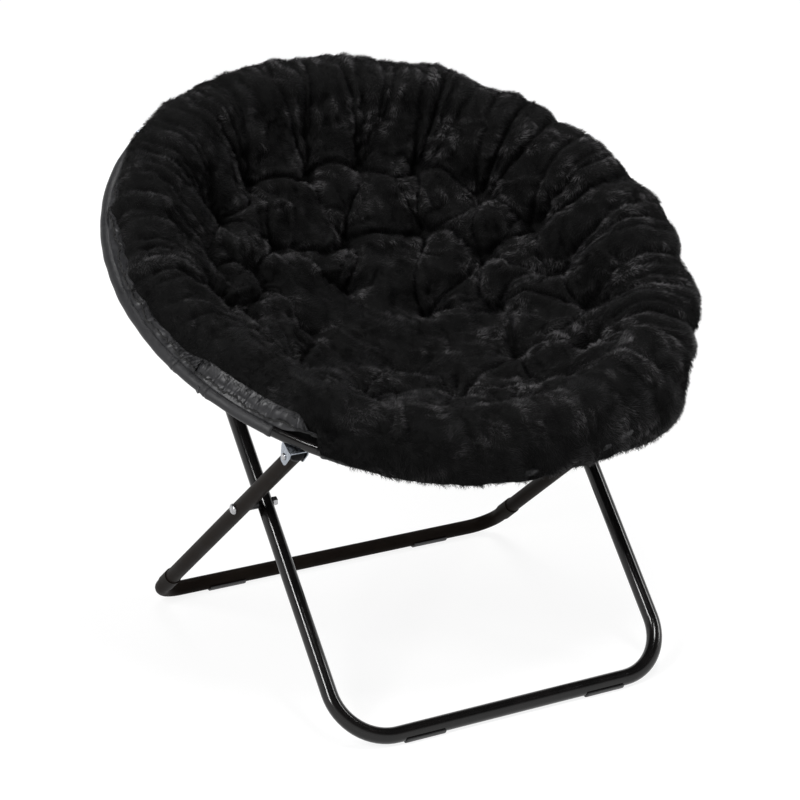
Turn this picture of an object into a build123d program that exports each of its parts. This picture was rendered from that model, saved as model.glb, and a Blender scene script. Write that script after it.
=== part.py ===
from build123d import *
import math
import os

# Folding saucer chair: a round tubular hoop in two hinged halves, carried by two crossed tubular
# legs, with a quilted plush bowl seat sewn to a woven cover that wraps the hoop.
# Millimetres. X runs across the chair, -Y is the front, +Z is up. The origin is on the floor,
# under the centre of the hoop.

# ---------------------------------------------------------------- driving dimensions
HOOP_CENTRE_HEIGHT = 637.0    # floor to the centre of the hoop
HOOP_TILT = 27.2              # degrees, the hoop rises to the back
HOOP_RADIUS = 469.5           # to the centreline of the hoop tube
HOOP_TUBE_D = 16.0
HOOP_WALL = 1.2
FOLD_SETTING = 180.0          # centre of the hoop to the line where it folds, in its plane
HINGE_GAP = 24.0              # hinge axis to the cut end of either hoop tube, along the arc

LEG_TUBE_D = 25.4
LEG_WALL = 1.2
FRONT_LEG_HALF_WIDTH = 290.0  # centreline of the inner leg's arms
LEG_SPACING = 40.0            # inner leg's arm to outer leg's arm, centre to centre
FRONT_FOOT_Y = -374.5
REAR_FOOT_Y = 267.3
FRONT_BEND_RADIUS = 86.0
REAR_BEND_RADIUS = 46.0
SOCKET_START = 62.0           # along the outer leg, from its corner to the step of the socket
SOCKET_DEPTH = 40.0
SOCKET_WALL = 1.6

REAR_PIN_DROP = 40.0          # hoop plane down to the rivet at the top of the inner leg
FRONT_PIN_DROP = 27.0         # the same at the top of the outer leg
LEG_END_PAST_PIN = 8.0        # rivet to the cut end of a leg tube
CAP_FLANGE_D = 27.0
CAP_FLANGE_H = 1.8
CAP_EDGE = 1.4                # rounding of the flange
CAP_PLUG_DEPTH = 4.0
CAP_WALL = 1.5

BRACKET_STEEL = 2.0
BRACKET_SIDE_GAP = 0.9        # leg tube to each flange
BRACKET_LENGTH = 28.0
BRACKET_TIP_LENGTH = 13.0
BRACKET_TIP_PAST_PIN = 13.0
BRACKET_SHOULDER = 7.0

RIVET_D = 6.0
RIVET_HEAD_D = 11.0
RIVET_HEAD_H = 2.4
DOME = 0.8                    # largest share of a head's height that is rounded over
RUNNING_GAP = 0.08            # radial, round each rivet and bolt that turns in its hole
FIXED_GAP = 0.04              # radial, where a rivet or plug is tight

PIVOT_BOLT_D = 8.0
PIVOT_HEAD_D = 17.0
PIVOT_HEAD_H = 4.5
PIVOT_NUT_D = 15.0
PIVOT_NUT_H = 7.0
SPACER_D = 14.0
FACE_GAP = 0.3                # between faces of pieces that turn against each other

TONGUE_STEEL = 3.2
TONGUE_WIDTH = 13.0
TONGUE_GAP = 0.4              # between the two tongues of a hinge
HINGE_PLUG_DEPTH = 14.0
HINGE_PLUG_GAP = 0.35         # radial, a straight plug in the curved tube
HINGE_COLLAR = 3.0

GLIDE_LENGTH = 66.0
GLIDE_WALL = 3.0              # under the tube, so it sets the floor gap
GLIDE_GRIP = 140.0            # degrees of the tube that a glide wraps
SOLE_FLAT = 0.5               # worn flat under each glide
FRONT_GLIDE_X = 161.0
REAR_GLIDE_X = 200.0

CLOTH = 1.2                   # woven cover and hoop sleeve
SLEEVE_EASE = 0.3             # sleeve to hoop tube
SLEEVE_HINGE_GAP = 32.0       # hinge axis to the end of the stiff sleeve, along the arc
SLEEVE_CUT = 4.8              # degrees, half of each cut-out round a bracket

BOWL_APEX_DEPTH = 288.0       # hoop plane down to the tip of the bowl's straight cone
BOWL_FLOOR_RADIUS = 230.0     # inside this the cone rounds off
COVER_TO_SLEEVE = 0.5
CUSHION_EASE = 0.5            # cushion to cover
CUSHION_WALL = 42.0           # thickness, square to the wall of the bowl
CUSHION_SET_IN = 15.5         # outer edge of the cushion to the hoop tube's centreline
BOLSTER_R = 47.0              # round padded rim of the cushion
BOLSTER_LIFT = 4.0            # hoop plane up to the centre of the rim's round
SPLIT_GAP = 0.4               # between the two halves of the seat at the fold line
BRACKET_CUT = 1.5             # seat cloth and padding to the brackets
OUTER_TUFT_RADIUS = 305.0
TUFT_TO_BOLSTER = 13.0        # from those tufts to where the bowl turns up into the rim
OUTER_TUFTS = 18
INNER_TUFT_RADIUS = 215.0
INNER_TUFTS = 9
CENTRE_TUFT_RADIUS = 110.0
CENTRE_TUFTS = 4
TUFT_TURN = 16.0              # degrees, places the first outer tuft
TUFT_BALL_R = 30.0
TUFT_DEPTH = 15.0
PLEAT_R = 16.0
PLEAT_DEPTH = 7.0

FLAP_FROM = 239.0             # degrees round the hoop, the front flap of the cushion
FLAP_TO = 299.0
FLAP_START = 130.0            # degrees round the rim's section, the flap's inner edge
FLAP_LEAVES = 25.0            # the same, where the flap leaves the rim for the hoop
FLAP_THICKNESS = 12.0
FLAP_HEM = 7.0                # thickness at the lower edge of the flap
FLAP_DROP = 11.0              # hoop plane down to the lower edge of the flap
FLAP_EASE = 0.6               # flap to the rim and to the sleeve

# ---------------------------------------------------------------- worked-out places
LEG_R = LEG_TUBE_D / 2
REAR_LEG_HALF_WIDTH = FRONT_LEG_HALF_WIDTH + LEG_SPACING
HOOP_R = HOOP_TUBE_D / 2
SLEEVE_IN_R = HOOP_R + SLEEVE_EASE
SLEEVE_OUT_R = SLEEVE_IN_R + CLOTH
FOOT_Z = LEG_R + GLIDE_WALL - SOLE_FLAT
BRACKET_INSIDE = LEG_R + BRACKET_SIDE_GAP
BRACKET_OUTSIDE = BRACKET_INSIDE + BRACKET_STEEL
REAR_PIN_LINE = math.sqrt(HOOP_RADIUS ** 2 - FRONT_LEG_HALF_WIDTH ** 2)
FRONT_BRACKET_LINE = -math.sqrt(HOOP_RADIUS ** 2 - REAR_LEG_HALF_WIDTH ** 2)
FRONT_PIN_LINE = FRONT_BRACKET_LINE
FOLD_LINE = -FOLD_SETTING
HINGE_ANGLE = -math.degrees(math.asin(-FOLD_LINE / HOOP_RADIUS))
HINGE_X = HOOP_RADIUS * math.cos(math.radians(HINGE_ANGLE))
GAP_ANGLE = math.degrees(HINGE_GAP / HOOP_RADIUS)
SLEEVE_GAP_ANGLE = math.degrees(SLEEVE_HINGE_GAP / HOOP_RADIUS)
REAR_BRACKET_ANGLE = math.degrees(math.acos(FRONT_LEG_HALF_WIDTH / HOOP_RADIUS))
FRONT_BRACKET_ANGLE = -math.degrees(math.acos(REAR_LEG_HALF_WIDTH / HOOP_RADIUS))

TILT = math.radians(HOOP_TILT)
HOOP = Plane(
    origin=(0, 0, HOOP_CENTRE_HEIGHT),
    x_dir=(1, 0, 0),
    z_dir=(0, -math.sin(TILT), math.cos(TILT)),
).location


def in_side_view(along, below):
    """Y and Z of a point in the hoop's plane, moved down square to it."""
    y = along * math.cos(TILT) + below * math.sin(TILT)
    z = HOOP_CENTRE_HEIGHT + along * math.sin(TILT) - below * math.cos(TILT)
    return y, z


REAR_PIN = in_side_view(REAR_PIN_LINE, REAR_PIN_DROP)
FRONT_PIN = in_side_view(FRONT_PIN_LINE, FRONT_PIN_DROP)
FRONT_LEG_ANGLE = math.atan2(REAR_PIN[1] - FOOT_Z, REAR_PIN[0] - FRONT_FOOT_Y)
REAR_LEG_ANGLE = math.atan2(FRONT_PIN[1] - FOOT_Z, REAR_FOOT_Y - FRONT_PIN[0])
FRONT_LEG_LENGTH = math.hypot(REAR_PIN[1] - FOOT_Z, REAR_PIN[0] - FRONT_FOOT_Y) + LEG_END_PAST_PIN
REAR_LEG_LENGTH = math.hypot(FRONT_PIN[1] - FOOT_Z, REAR_FOOT_Y - FRONT_PIN[0]) + LEG_END_PAST_PIN


def crossing():
    """Where the two legs cross in side view."""
    spread = REAR_FOOT_Y - FRONT_FOOT_Y
    turn = math.sin(FRONT_LEG_ANGLE + REAR_LEG_ANGLE)
    run = spread * math.sin(REAR_LEG_ANGLE) / turn
    return FRONT_FOOT_Y + run * math.cos(FRONT_LEG_ANGLE), FOOT_Z + run * math.sin(FRONT_LEG_ANGLE)


PIVOT = crossing()


def leg_plane(foot_y, lean):
    """A leg's own plane: X across the chair, Y up along the arms."""
    return Plane(origin=(0, foot_y, FOOT_Z), x_dir=(1, 0, 0), z_dir=(0, -math.sin(lean), math.cos(lean)))


FRONT_LEG = leg_plane(FRONT_FOOT_Y, FRONT_LEG_ANGLE).location
REAR_LEG = leg_plane(REAR_FOOT_Y, math.pi - REAR_LEG_ANGLE).location


def cross_hole(place, x, radius, reach):
    """A round cutter along X through the tube whose centre is at x."""
    return Pos(x, place[0], place[1]) * Rot(0, 90, 0) * Cylinder(radius, reach)


def cross_rod(place, x_from, x_to, radius):
    """A round rod along X between two stations."""
    low, high = sorted((x_from, x_to))
    middle = (low + high) / 2
    return Pos(middle, place[0], place[1]) * Rot(0, 90, 0) * Cylinder(radius, high - low)


def domed_disc(place, x_face, side, diameter, height):
    """A low rounded head that stands on the face at x_face and points to the given side."""
    head = Cylinder(diameter / 2, height, align=(Align.CENTER, Align.CENTER, Align.MIN))
    rim = head.edges().filter_by(GeomType.CIRCLE).sort_by(Axis.Z)[-1]
    head = fillet(rim, height * DOME)
    return Pos(x_face, place[0], place[1]) * Rot(0, 90 * side, 0) * head


def ring(outer, inner):
    return Circle(outer) - Circle(inner)


def hoop_arc(section, start, end):
    """A section drawn in the hoop's XZ plane, turned round the hoop between two angles."""
    turned = revolve(Plane.XZ * section, axis=Axis.Z, revolution_arc=end - start)
    return HOOP * Rot(0, 0, start) * turned


# ---------------------------------------------------------------- inner leg, one bent tube
def front_leg_tube():
    half = FRONT_LEG_HALF_WIDTH
    path = FilletPolyline(
        (-half, FRONT_LEG_LENGTH),
        (-half, 0),
        (half, 0),
        (half, FRONT_LEG_LENGTH),
        radius=FRONT_BEND_RADIUS,
    )
    tube = FRONT_LEG * sweep((path ^ 0) * ring(LEG_R, LEG_R - LEG_WALL), path=path)
    for side in (-1, 1):
        tube -= cross_hole(PIVOT, side * half, PIVOT_BOLT_D / 2 + FIXED_GAP, 2 * LEG_TUBE_D)
        tube -= cross_hole(REAR_PIN, side * half, RIVET_D / 2 + RUNNING_GAP, 2 * LEG_TUBE_D)
    return tube


# ---------------------------------------------------------------- outer leg, a foot and two arms
def rear_foot_tube():
    half = REAR_LEG_HALF_WIDTH
    path = FilletPolyline(
        (-half, SOCKET_START),
        (-half, 0),
        (half, 0),
        (half, SOCKET_START),
        radius=REAR_BEND_RADIUS,
    )
    foot = sweep((path ^ 0) * ring(LEG_R, LEG_R - LEG_WALL), path=path)
    bore = LEG_R + FIXED_GAP
    outer = bore + SOCKET_WALL
    neck = outer - LEG_R
    half_section = Polyline(
        (LEG_R - LEG_WALL, -neck),
        (LEG_R, -neck),
        (outer, 0),
        (outer, SOCKET_DEPTH),
        (bore, SOCKET_DEPTH),
        (bore, 0),
        (LEG_R - LEG_WALL, 0),
        close=True,
    )
    socket = revolve(Plane.XY * make_face(half_section), axis=Axis.Y)
    for side in (-1, 1):
        foot += Pos(side * half, SOCKET_START, 0) * socket
    return REAR_LEG * foot


def rear_arm(side):
    length = REAR_LEG_LENGTH - SOCKET_START - FACE_GAP
    tube = extrude(Plane.XZ * ring(LEG_R, LEG_R - LEG_WALL), -length)
    tube = REAR_LEG * Pos(side * REAR_LEG_HALF_WIDTH, SOCKET_START + FACE_GAP, 0) * tube
    centre = side * REAR_LEG_HALF_WIDTH
    tube -= cross_hole(PIVOT, centre, PIVOT_BOLT_D / 2 + FIXED_GAP, 2 * LEG_TUBE_D)
    tube -= cross_hole(FRONT_PIN, centre, RIVET_D / 2 + RUNNING_GAP, 2 * LEG_TUBE_D)
    return tube


def leg_cap(leg, half_width, leg_length):
    """Moulded plug in the cut end of a leg tube, with a flange that hides the edge."""
    flange = Cylinder(CAP_FLANGE_D / 2, CAP_FLANGE_H, align=(Align.CENTER, Align.CENTER, Align.MIN))
    rim = flange.edges().filter_by(GeomType.CIRCLE).sort_by(Axis.Z)[-1]
    cap = fillet(rim, min(CAP_EDGE, CAP_FLANGE_H * DOME))
    plug_r = LEG_R - LEG_WALL - FIXED_GAP
    plug = Cylinder(plug_r, CAP_PLUG_DEPTH, align=(Align.CENTER, Align.CENTER, Align.MAX))
    plug -= Cylinder(plug_r - CAP_WALL, CAP_PLUG_DEPTH, align=(Align.CENTER, Align.CENTER, Align.MAX))
    return leg * Pos(half_width, leg_length, 0) * Rot(-90, 0, 0) * (cap + plug)


# ---------------------------------------------------------------- scissor pivot
def pivot_stud(side):
    """Shank through the inner leg and its spacer; it ends flush with the spacer's face."""
    inner = side * (FRONT_LEG_HALF_WIDTH - LEG_R - PIVOT_NUT_H)
    outer = side * (REAR_LEG_HALF_WIDTH - LEG_R - FACE_GAP)
    return cross_rod(PIVOT, inner, outer, PIVOT_BOLT_D / 2)


def pivot_spacer(side):
    inner = side * (FRONT_LEG_HALF_WIDTH + LEG_R)
    outer = side * (REAR_LEG_HALF_WIDTH - LEG_R - FACE_GAP)
    spacer = cross_rod(PIVOT, inner, outer, SPACER_D / 2)
    return spacer - cross_hole(PIVOT, (inner + outer) / 2, PIVOT_BOLT_D / 2 + FIXED_GAP, SPACER_D * 4)


def pivot_nut(side):
    """Six-sided nut on the inner face of the inner leg."""
    face = side * (FRONT_LEG_HALF_WIDTH - LEG_R)
    nut = extrude(RegularPolygon(PIVOT_NUT_D / 2, 6), PIVOT_NUT_H)
    nut -= Cylinder(PIVOT_BOLT_D / 2 + FIXED_GAP, PIVOT_NUT_H * 4)
    return Pos(face, PIVOT[0], PIVOT[1]) * Rot(0, -90 * side, 0) * nut


def pivot_head(side):
    """Bolt head on the outer face of the outer leg, with the shank that stays inside that tube."""
    face = side * (REAR_LEG_HALF_WIDTH + LEG_R)
    inside = side * (REAR_LEG_HALF_WIDTH - LEG_R)
    head = domed_disc(PIVOT, face, side, PIVOT_HEAD_D, PIVOT_HEAD_H)
    return head + cross_rod(PIVOT, face + side * PIVOT_HEAD_H / 2, inside, PIVOT_BOLT_D / 2)


# ---------------------------------------------------------------- hoop
FULL_TURN = 360


def across(angle):
    """The angle round the hoop that mirrors this one on the chair's other side."""
    return FULL_TURN / 2 - angle


def hoop_half(start, end):
    section = Pos(HOOP_RADIUS, 0) * ring(HOOP_R, HOOP_R - HOOP_WALL)
    return hoop_arc(section, start, end)


def hinge_place():
    return in_side_view(FOLD_LINE, 0)


def hinge_end(side, half):
    """Plug in a cut hoop end with a flat tongue out to the hinge axis. half: 1 back, -1 front."""
    angle = math.radians(HINGE_ANGLE + half * GAP_ANGLE)
    end_x = HOOP_RADIUS * math.cos(angle)
    end_u = HOOP_RADIUS * math.sin(angle)
    plug_r = HOOP_R - HOOP_WALL - HINGE_PLUG_GAP
    plug = Cylinder(plug_r, HINGE_PLUG_DEPTH, align=(Align.CENTER, Align.CENTER, Align.MIN))
    collar = Cylinder(HOOP_R, HINGE_COLLAR, align=(Align.CENTER, Align.CENTER, Align.MAX))
    fitting = Rot(0, 0, math.degrees(angle)) * Rot(-90 * half, 0, 0) * (plug + collar)
    fitting = Pos(end_x, end_u, 0) * fitting
    centre_x = HINGE_X + half * (TONGUE_STEEL + TONGUE_GAP) / 2
    run = abs(end_u - FOLD_LINE) + HINGE_COLLAR / 2
    tongue = Pos(centre_x, FOLD_LINE + half * run / 2, 0) * Box(TONGUE_STEEL, run, TONGUE_WIDTH)
    tongue += Pos(centre_x, FOLD_LINE, 0) * Rot(0, 90, 0) * Cylinder(TONGUE_WIDTH / 2, TONGUE_STEEL)
    hole = RIVET_D / 2 + (FIXED_GAP if half > 0 else RUNNING_GAP)
    tongue -= Pos(centre_x, FOLD_LINE, 0) * Rot(0, 90, 0) * Cylinder(hole, TONGUE_STEEL * 2)
    fitting = HOOP * (fitting + tongue)
    return fitting if side > 0 else mirror(fitting, about=Plane.YZ)


def hinge_rivet(side):
    outer = HINGE_X + TONGUE_GAP / 2 + TONGUE_STEEL
    inner = HINGE_X - TONGUE_GAP / 2 - TONGUE_STEEL - FACE_GAP
    place = hinge_place()
    rivet = cross_rod(place, side * inner, side * outer, RIVET_D / 2)
    rivet += domed_disc(place, side * outer, side, RIVET_HEAD_D, RIVET_HEAD_H)
    rivet += domed_disc(place, side * inner, -side, RIVET_HEAD_D, RIVET_HEAD_H)
    return rivet


# ---------------------------------------------------------------- brackets under the hoop
def bracket(half_width, hoop_line, pin_line, drop, side):
    """Inverted U of zinc-plated sheet. Its web lies under the hoop tube, its flanges hold the rivet."""
    top = -HOOP_R
    shoulder = top - BRACKET_STEEL - BRACKET_SHOULDER
    tip = -drop - BRACKET_TIP_PAST_PIN
    outline = Polyline(
        (hoop_line - BRACKET_LENGTH / 2, top),
        (hoop_line + BRACKET_LENGTH / 2, top),
        (hoop_line + BRACKET_LENGTH / 2, shoulder),
        (pin_line + BRACKET_TIP_LENGTH / 2, tip),
        (pin_line - BRACKET_TIP_LENGTH / 2, tip),
        (hoop_line - BRACKET_LENGTH / 2, shoulder),
        close=True,
    )
    blank = extrude(Plane.YZ * make_face(outline), BRACKET_OUTSIDE, both=True)
    below = (Align.CENTER, Align.CENTER, Align.MAX)
    channel = Box(2 * BRACKET_INSIDE, 4 * BRACKET_LENGTH, 4 * drop, align=below)
    blank -= Pos(0, hoop_line, top - BRACKET_STEEL) * channel
    tips = blank.edges().filter_by(Axis.X).group_by(Axis.Z)[0]
    blank = fillet(tips, BRACKET_TIP_LENGTH / 2 - BRACKET_STEEL)
    blank -= Pos(0, pin_line, -drop) * Rot(0, 90, 0) * Cylinder(RIVET_D / 2 + FIXED_GAP, BRACKET_OUTSIDE * 4)
    return HOOP * Pos(side * half_width, 0, 0) * blank


def bracket_rivet(half_width, place, side):
    """Rivet through both flanges and the leg tube between them."""
    centre = side * half_width
    rivet = cross_rod(place, centre - BRACKET_OUTSIDE, centre + BRACKET_OUTSIDE, RIVET_D / 2)
    for end in (-1, 1):
        rivet += domed_disc(place, centre + end * BRACKET_OUTSIDE, end, RIVET_HEAD_D, RIVET_HEAD_H)
    return rivet


# ---------------------------------------------------------------- glides
def glide(foot_y, x):
    """Moulded shoe clipped under a foot tube."""
    half_grip = math.radians(GLIDE_GRIP / 2)
    outer = LEG_R + GLIDE_WALL
    bore = LEG_R + FIXED_GAP
    shoe = Cylinder(outer, GLIDE_LENGTH) - Cylinder(bore, GLIDE_LENGTH)
    cut_height = bore * math.cos(half_grip)
    keep = Box(4 * outer, 2 * outer, GLIDE_LENGTH, align=(Align.CENTER, Align.MAX, Align.CENTER))
    shoe = shoe & (Pos(0, -cut_height, 0) * keep)
    sole = Box(4 * outer, 2 * outer, GLIDE_LENGTH, align=(Align.CENTER, Align.MIN, Align.CENTER))
    shoe = shoe & (Pos(0, -outer + SOLE_FLAT, 0) * sole)
    return Pos(x, foot_y, FOOT_Z) * Rot(0, 0, 90) * Rot(90, 0, 0) * shoe


# ---------------------------------------------------------------- woven cover and hoop sleeve
WALL_LEAN = math.atan(BOWL_APEX_DEPTH / HOOP_RADIUS)
COVER_FLOOR_R = BOWL_FLOOR_RADIUS / math.sin(WALL_LEAN)
FLOOR_RISE = BOWL_FLOOR_RADIUS * math.tan(WALL_LEAN) + COVER_FLOOR_R * math.cos(WALL_LEAN)
FLOOR_CENTRE = FLOOR_RISE - BOWL_APEX_DEPTH


def wall_height(radius, offset):
    """Height over the hoop plane of a surface parallel to the cover's underside, offset into the bowl."""
    floor_r = COVER_FLOOR_R - offset
    if radius < floor_r * math.sin(WALL_LEAN):
        return FLOOR_CENTRE - math.sqrt(floor_r ** 2 - radius ** 2)
    return -BOWL_APEX_DEPTH + radius * math.tan(WALL_LEAN) + offset / math.cos(WALL_LEAN)


def bowl_line(offset, end_radius):
    """That surface's profile, from the axis to a radius: one arc and one straight run."""
    knee = (COVER_FLOOR_R - offset) * math.sin(WALL_LEAN)
    start = (0, wall_height(0, offset))
    middle = (knee / 2, wall_height(knee / 2, offset))
    bend = (knee, wall_height(knee, offset))
    end = (end_radius, wall_height(end_radius, offset))
    return start, end, ThreePointArc(start, middle, bend) + Line(bend, end)


def split(seat, half):
    """The part of a seat piece behind (1) or in front of (-1) the fold line."""
    size = 3 * HOOP_RADIUS
    side = Align.MIN if half > 0 else Align.MAX
    keep = Box(size, size, size, align=(Align.CENTER, side, Align.CENTER))
    return seat & (Pos(0, FOLD_LINE + half * SPLIT_GAP / 2, 0) * keep)


def bracket_clearances():
    """Space left in the seat for the four brackets and the leg ends in them."""
    width = 2 * (BRACKET_OUTSIDE + RIVET_HEAD_H + BRACKET_CUT)
    length = BRACKET_LENGTH + 2 * BRACKET_CUT
    height = BOWL_APEX_DEPTH
    cuts = []
    places = ((FRONT_LEG_HALF_WIDTH, REAR_PIN_LINE), (REAR_LEG_HALF_WIDTH, FRONT_BRACKET_LINE))
    for half_width, line in places:
        for side in (-1, 1):
            block = Box(width, length, height, align=(Align.CENTER, Align.CENTER, Align.MAX))
            cuts.append(Pos(side * half_width, line, -HOOP_R + BRACKET_CUT) * block)
    return cuts


RIM_PASSES = 6                # enough for the rim to settle to a thousandth of a millimetre


def cover_rim_radius():
    """Where the cover's underside meets the sleeve, a little clear of it."""
    reach = SLEEVE_OUT_R + COVER_TO_SLEEVE
    rim = HOOP_RADIUS - reach
    for _ in range(RIM_PASSES):
        rim = HOOP_RADIUS - math.sqrt(reach ** 2 - wall_height(rim, 0) ** 2)
    return rim


def cover():
    rim = cover_rim_radius()
    low_start, low_end, low = bowl_line(0, rim)
    top_start, top_end, top = bowl_line(CLOTH, rim - CLOTH)
    outline = low + Line(low_end, top_end) + top + Line(top_start, low_start)
    shell = revolve(Plane.XZ * make_face(outline), axis=Axis.Z)
    return shell - bracket_clearances()


def hoop_sleeve(start, end):
    section = Pos(HOOP_RADIUS, 0) * ring(SLEEVE_OUT_R, SLEEVE_IN_R)
    return hoop_arc(section, start, end)


# ---------------------------------------------------------------- quilted plush cushion
CUSHION_UNDER = CLOTH + CUSHION_EASE
CUSHION_TOP = CUSHION_UNDER + CUSHION_WALL
BOLSTER_CENTRE = HOOP_RADIUS - CUSHION_SET_IN - BOLSTER_R
BOLSTER_FOOT = OUTER_TUFT_RADIUS + TUFT_TO_BOLSTER


def on_bolster(angle, reach):
    """A point at this reach from the centre of the rim's round, 0 outward, 90 up."""
    turn = math.radians(angle)
    return BOLSTER_CENTRE + reach * math.cos(turn), BOLSTER_LIFT + reach * math.sin(turn)


def bolster_slope():
    """Slope and length of the straight wall from the bowl up to the rim's round, which it touches."""
    across = BOLSTER_CENTRE - BOLSTER_FOOT
    up = BOLSTER_LIFT - wall_height(BOLSTER_FOOT, CUSHION_TOP)
    apart = math.hypot(across, up)
    slope = math.atan2(up, across) + math.asin(BOLSTER_R / apart)
    return slope, math.sqrt(apart ** 2 - BOLSTER_R ** 2)


def cushion_blank():
    """Bowl with a fat round rim and sides drawn in below it."""
    outer = BOLSTER_CENTRE + BOLSTER_R
    low_start, low_end, low = bowl_line(CUSHION_UNDER, outer)
    top_start, top_end, top = bowl_line(CUSHION_TOP, BOLSTER_FOOT)
    slope, run = bolster_slope()
    touch = (top_end[0] + run * math.cos(slope), top_end[1] + run * math.sin(slope))
    crown = ThreePointArc(touch, on_bolster(90, BOLSTER_R), on_bolster(0, BOLSTER_R))
    side = Line(low_end, on_bolster(0, BOLSTER_R))
    outline = low + side + crown + Line(top_end, touch) + top + Line(top_start, low_start)
    return revolve(Plane.XZ * make_face(outline), axis=Axis.Z)


def on_wall(radius, angle, lift):
    """Placement on the bowl's upper surface: Z square to it, X down the wall towards the floor."""
    inside = radius < (COVER_FLOOR_R - CUSHION_TOP) * math.sin(WALL_LEAN)
    lean = math.asin(radius / (COVER_FLOOR_R - CUSHION_TOP)) if inside else WALL_LEAN
    place = Rot(0, 0, angle) * Pos(radius, 0, wall_height(radius, CUSHION_TOP))
    return place * Rot(0, 180 - math.degrees(lean), 0) * Rot(180, 0, 0) * Pos(0, 0, lift)


def tufts(radius, count, turn):
    """Dimples where the plush is stitched down, evenly round the bowl."""
    ball = Sphere(TUFT_BALL_R)
    step = 360 / count
    return [on_wall(radius, turn + step * i, TUFT_BALL_R - TUFT_DEPTH) * ball for i in range(count)]


def pleats():
    """Shallow channels from the outer tufts up the steep wall, which fade out on the rim's round."""
    slope, run = bolster_slope()
    run += BOLSTER_R
    channel = Cylinder(PLEAT_R, run, align=(Align.CENTER, Align.CENTER, Align.MIN)) + Sphere(PLEAT_R)
    channel = Pos(0, 0, PLEAT_R - PLEAT_DEPTH) * Rot(180, 90, 0) * channel
    foot = Pos(BOLSTER_FOOT, 0, wall_height(BOLSTER_FOOT, CUSHION_TOP)) * Rot(0, -math.degrees(slope), 0)
    step = 360 / OUTER_TUFTS
    return [Rot(0, 0, TUFT_TURN + step * i) * foot * channel for i in range(OUTER_TUFTS)]


def cushion():
    inner_turn = TUFT_TURN - 180 / OUTER_TUFTS
    cuts = tufts(OUTER_TUFT_RADIUS, OUTER_TUFTS, TUFT_TURN)
    cuts += tufts(INNER_TUFT_RADIUS, INNER_TUFTS, inner_turn)
    cuts += tufts(CENTRE_TUFT_RADIUS, CENTRE_TUFTS, TUFT_TURN)
    return cushion_blank() - cuts - pleats() - bracket_clearances()


def front_flap():
    """Padded plush that rolls from the cushion's rim over the front of the hoop."""
    under_r = SLEEVE_OUT_R + FLAP_EASE
    outer = HOOP_RADIUS + under_r
    inside = BOLSTER_R + FLAP_EASE
    start = on_bolster(FLAP_START, inside)
    side = on_bolster(FLAP_LEAVES, inside)
    over = (HOOP_RADIUS, under_r)
    outline = ThreePointArc(start, on_bolster(90, inside), side)
    outline += Line(side, over)
    turn = math.radians(45)
    outline += ThreePointArc(
        over,
        (HOOP_RADIUS + under_r * math.cos(turn), under_r * math.sin(turn)),
        (outer, 0),
    )
    hem = (outer, -FLAP_DROP)
    hem_out = (outer + FLAP_HEM, -FLAP_DROP)
    outline += Line((outer, 0), hem)
    outline += Line(hem, hem_out)
    top = on_bolster(90, inside + FLAP_THICKNESS)
    outline += RadiusArc(top, hem_out, hem_out[0] - BOLSTER_CENTRE)
    middle = on_bolster(90 + (FLAP_START - 90) / 2, inside + FLAP_THICKNESS)
    start_out = on_bolster(FLAP_START, inside + FLAP_THICKNESS)
    outline += ThreePointArc(top, middle, start_out)
    outline += Line(start_out, start)
    turned = revolve(Plane.XZ * make_face(outline), axis=Axis.Z, revolution_arc=FLAP_TO - FLAP_FROM)
    return HOOP * Rot(0, 0, FLAP_FROM) * turned


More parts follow.
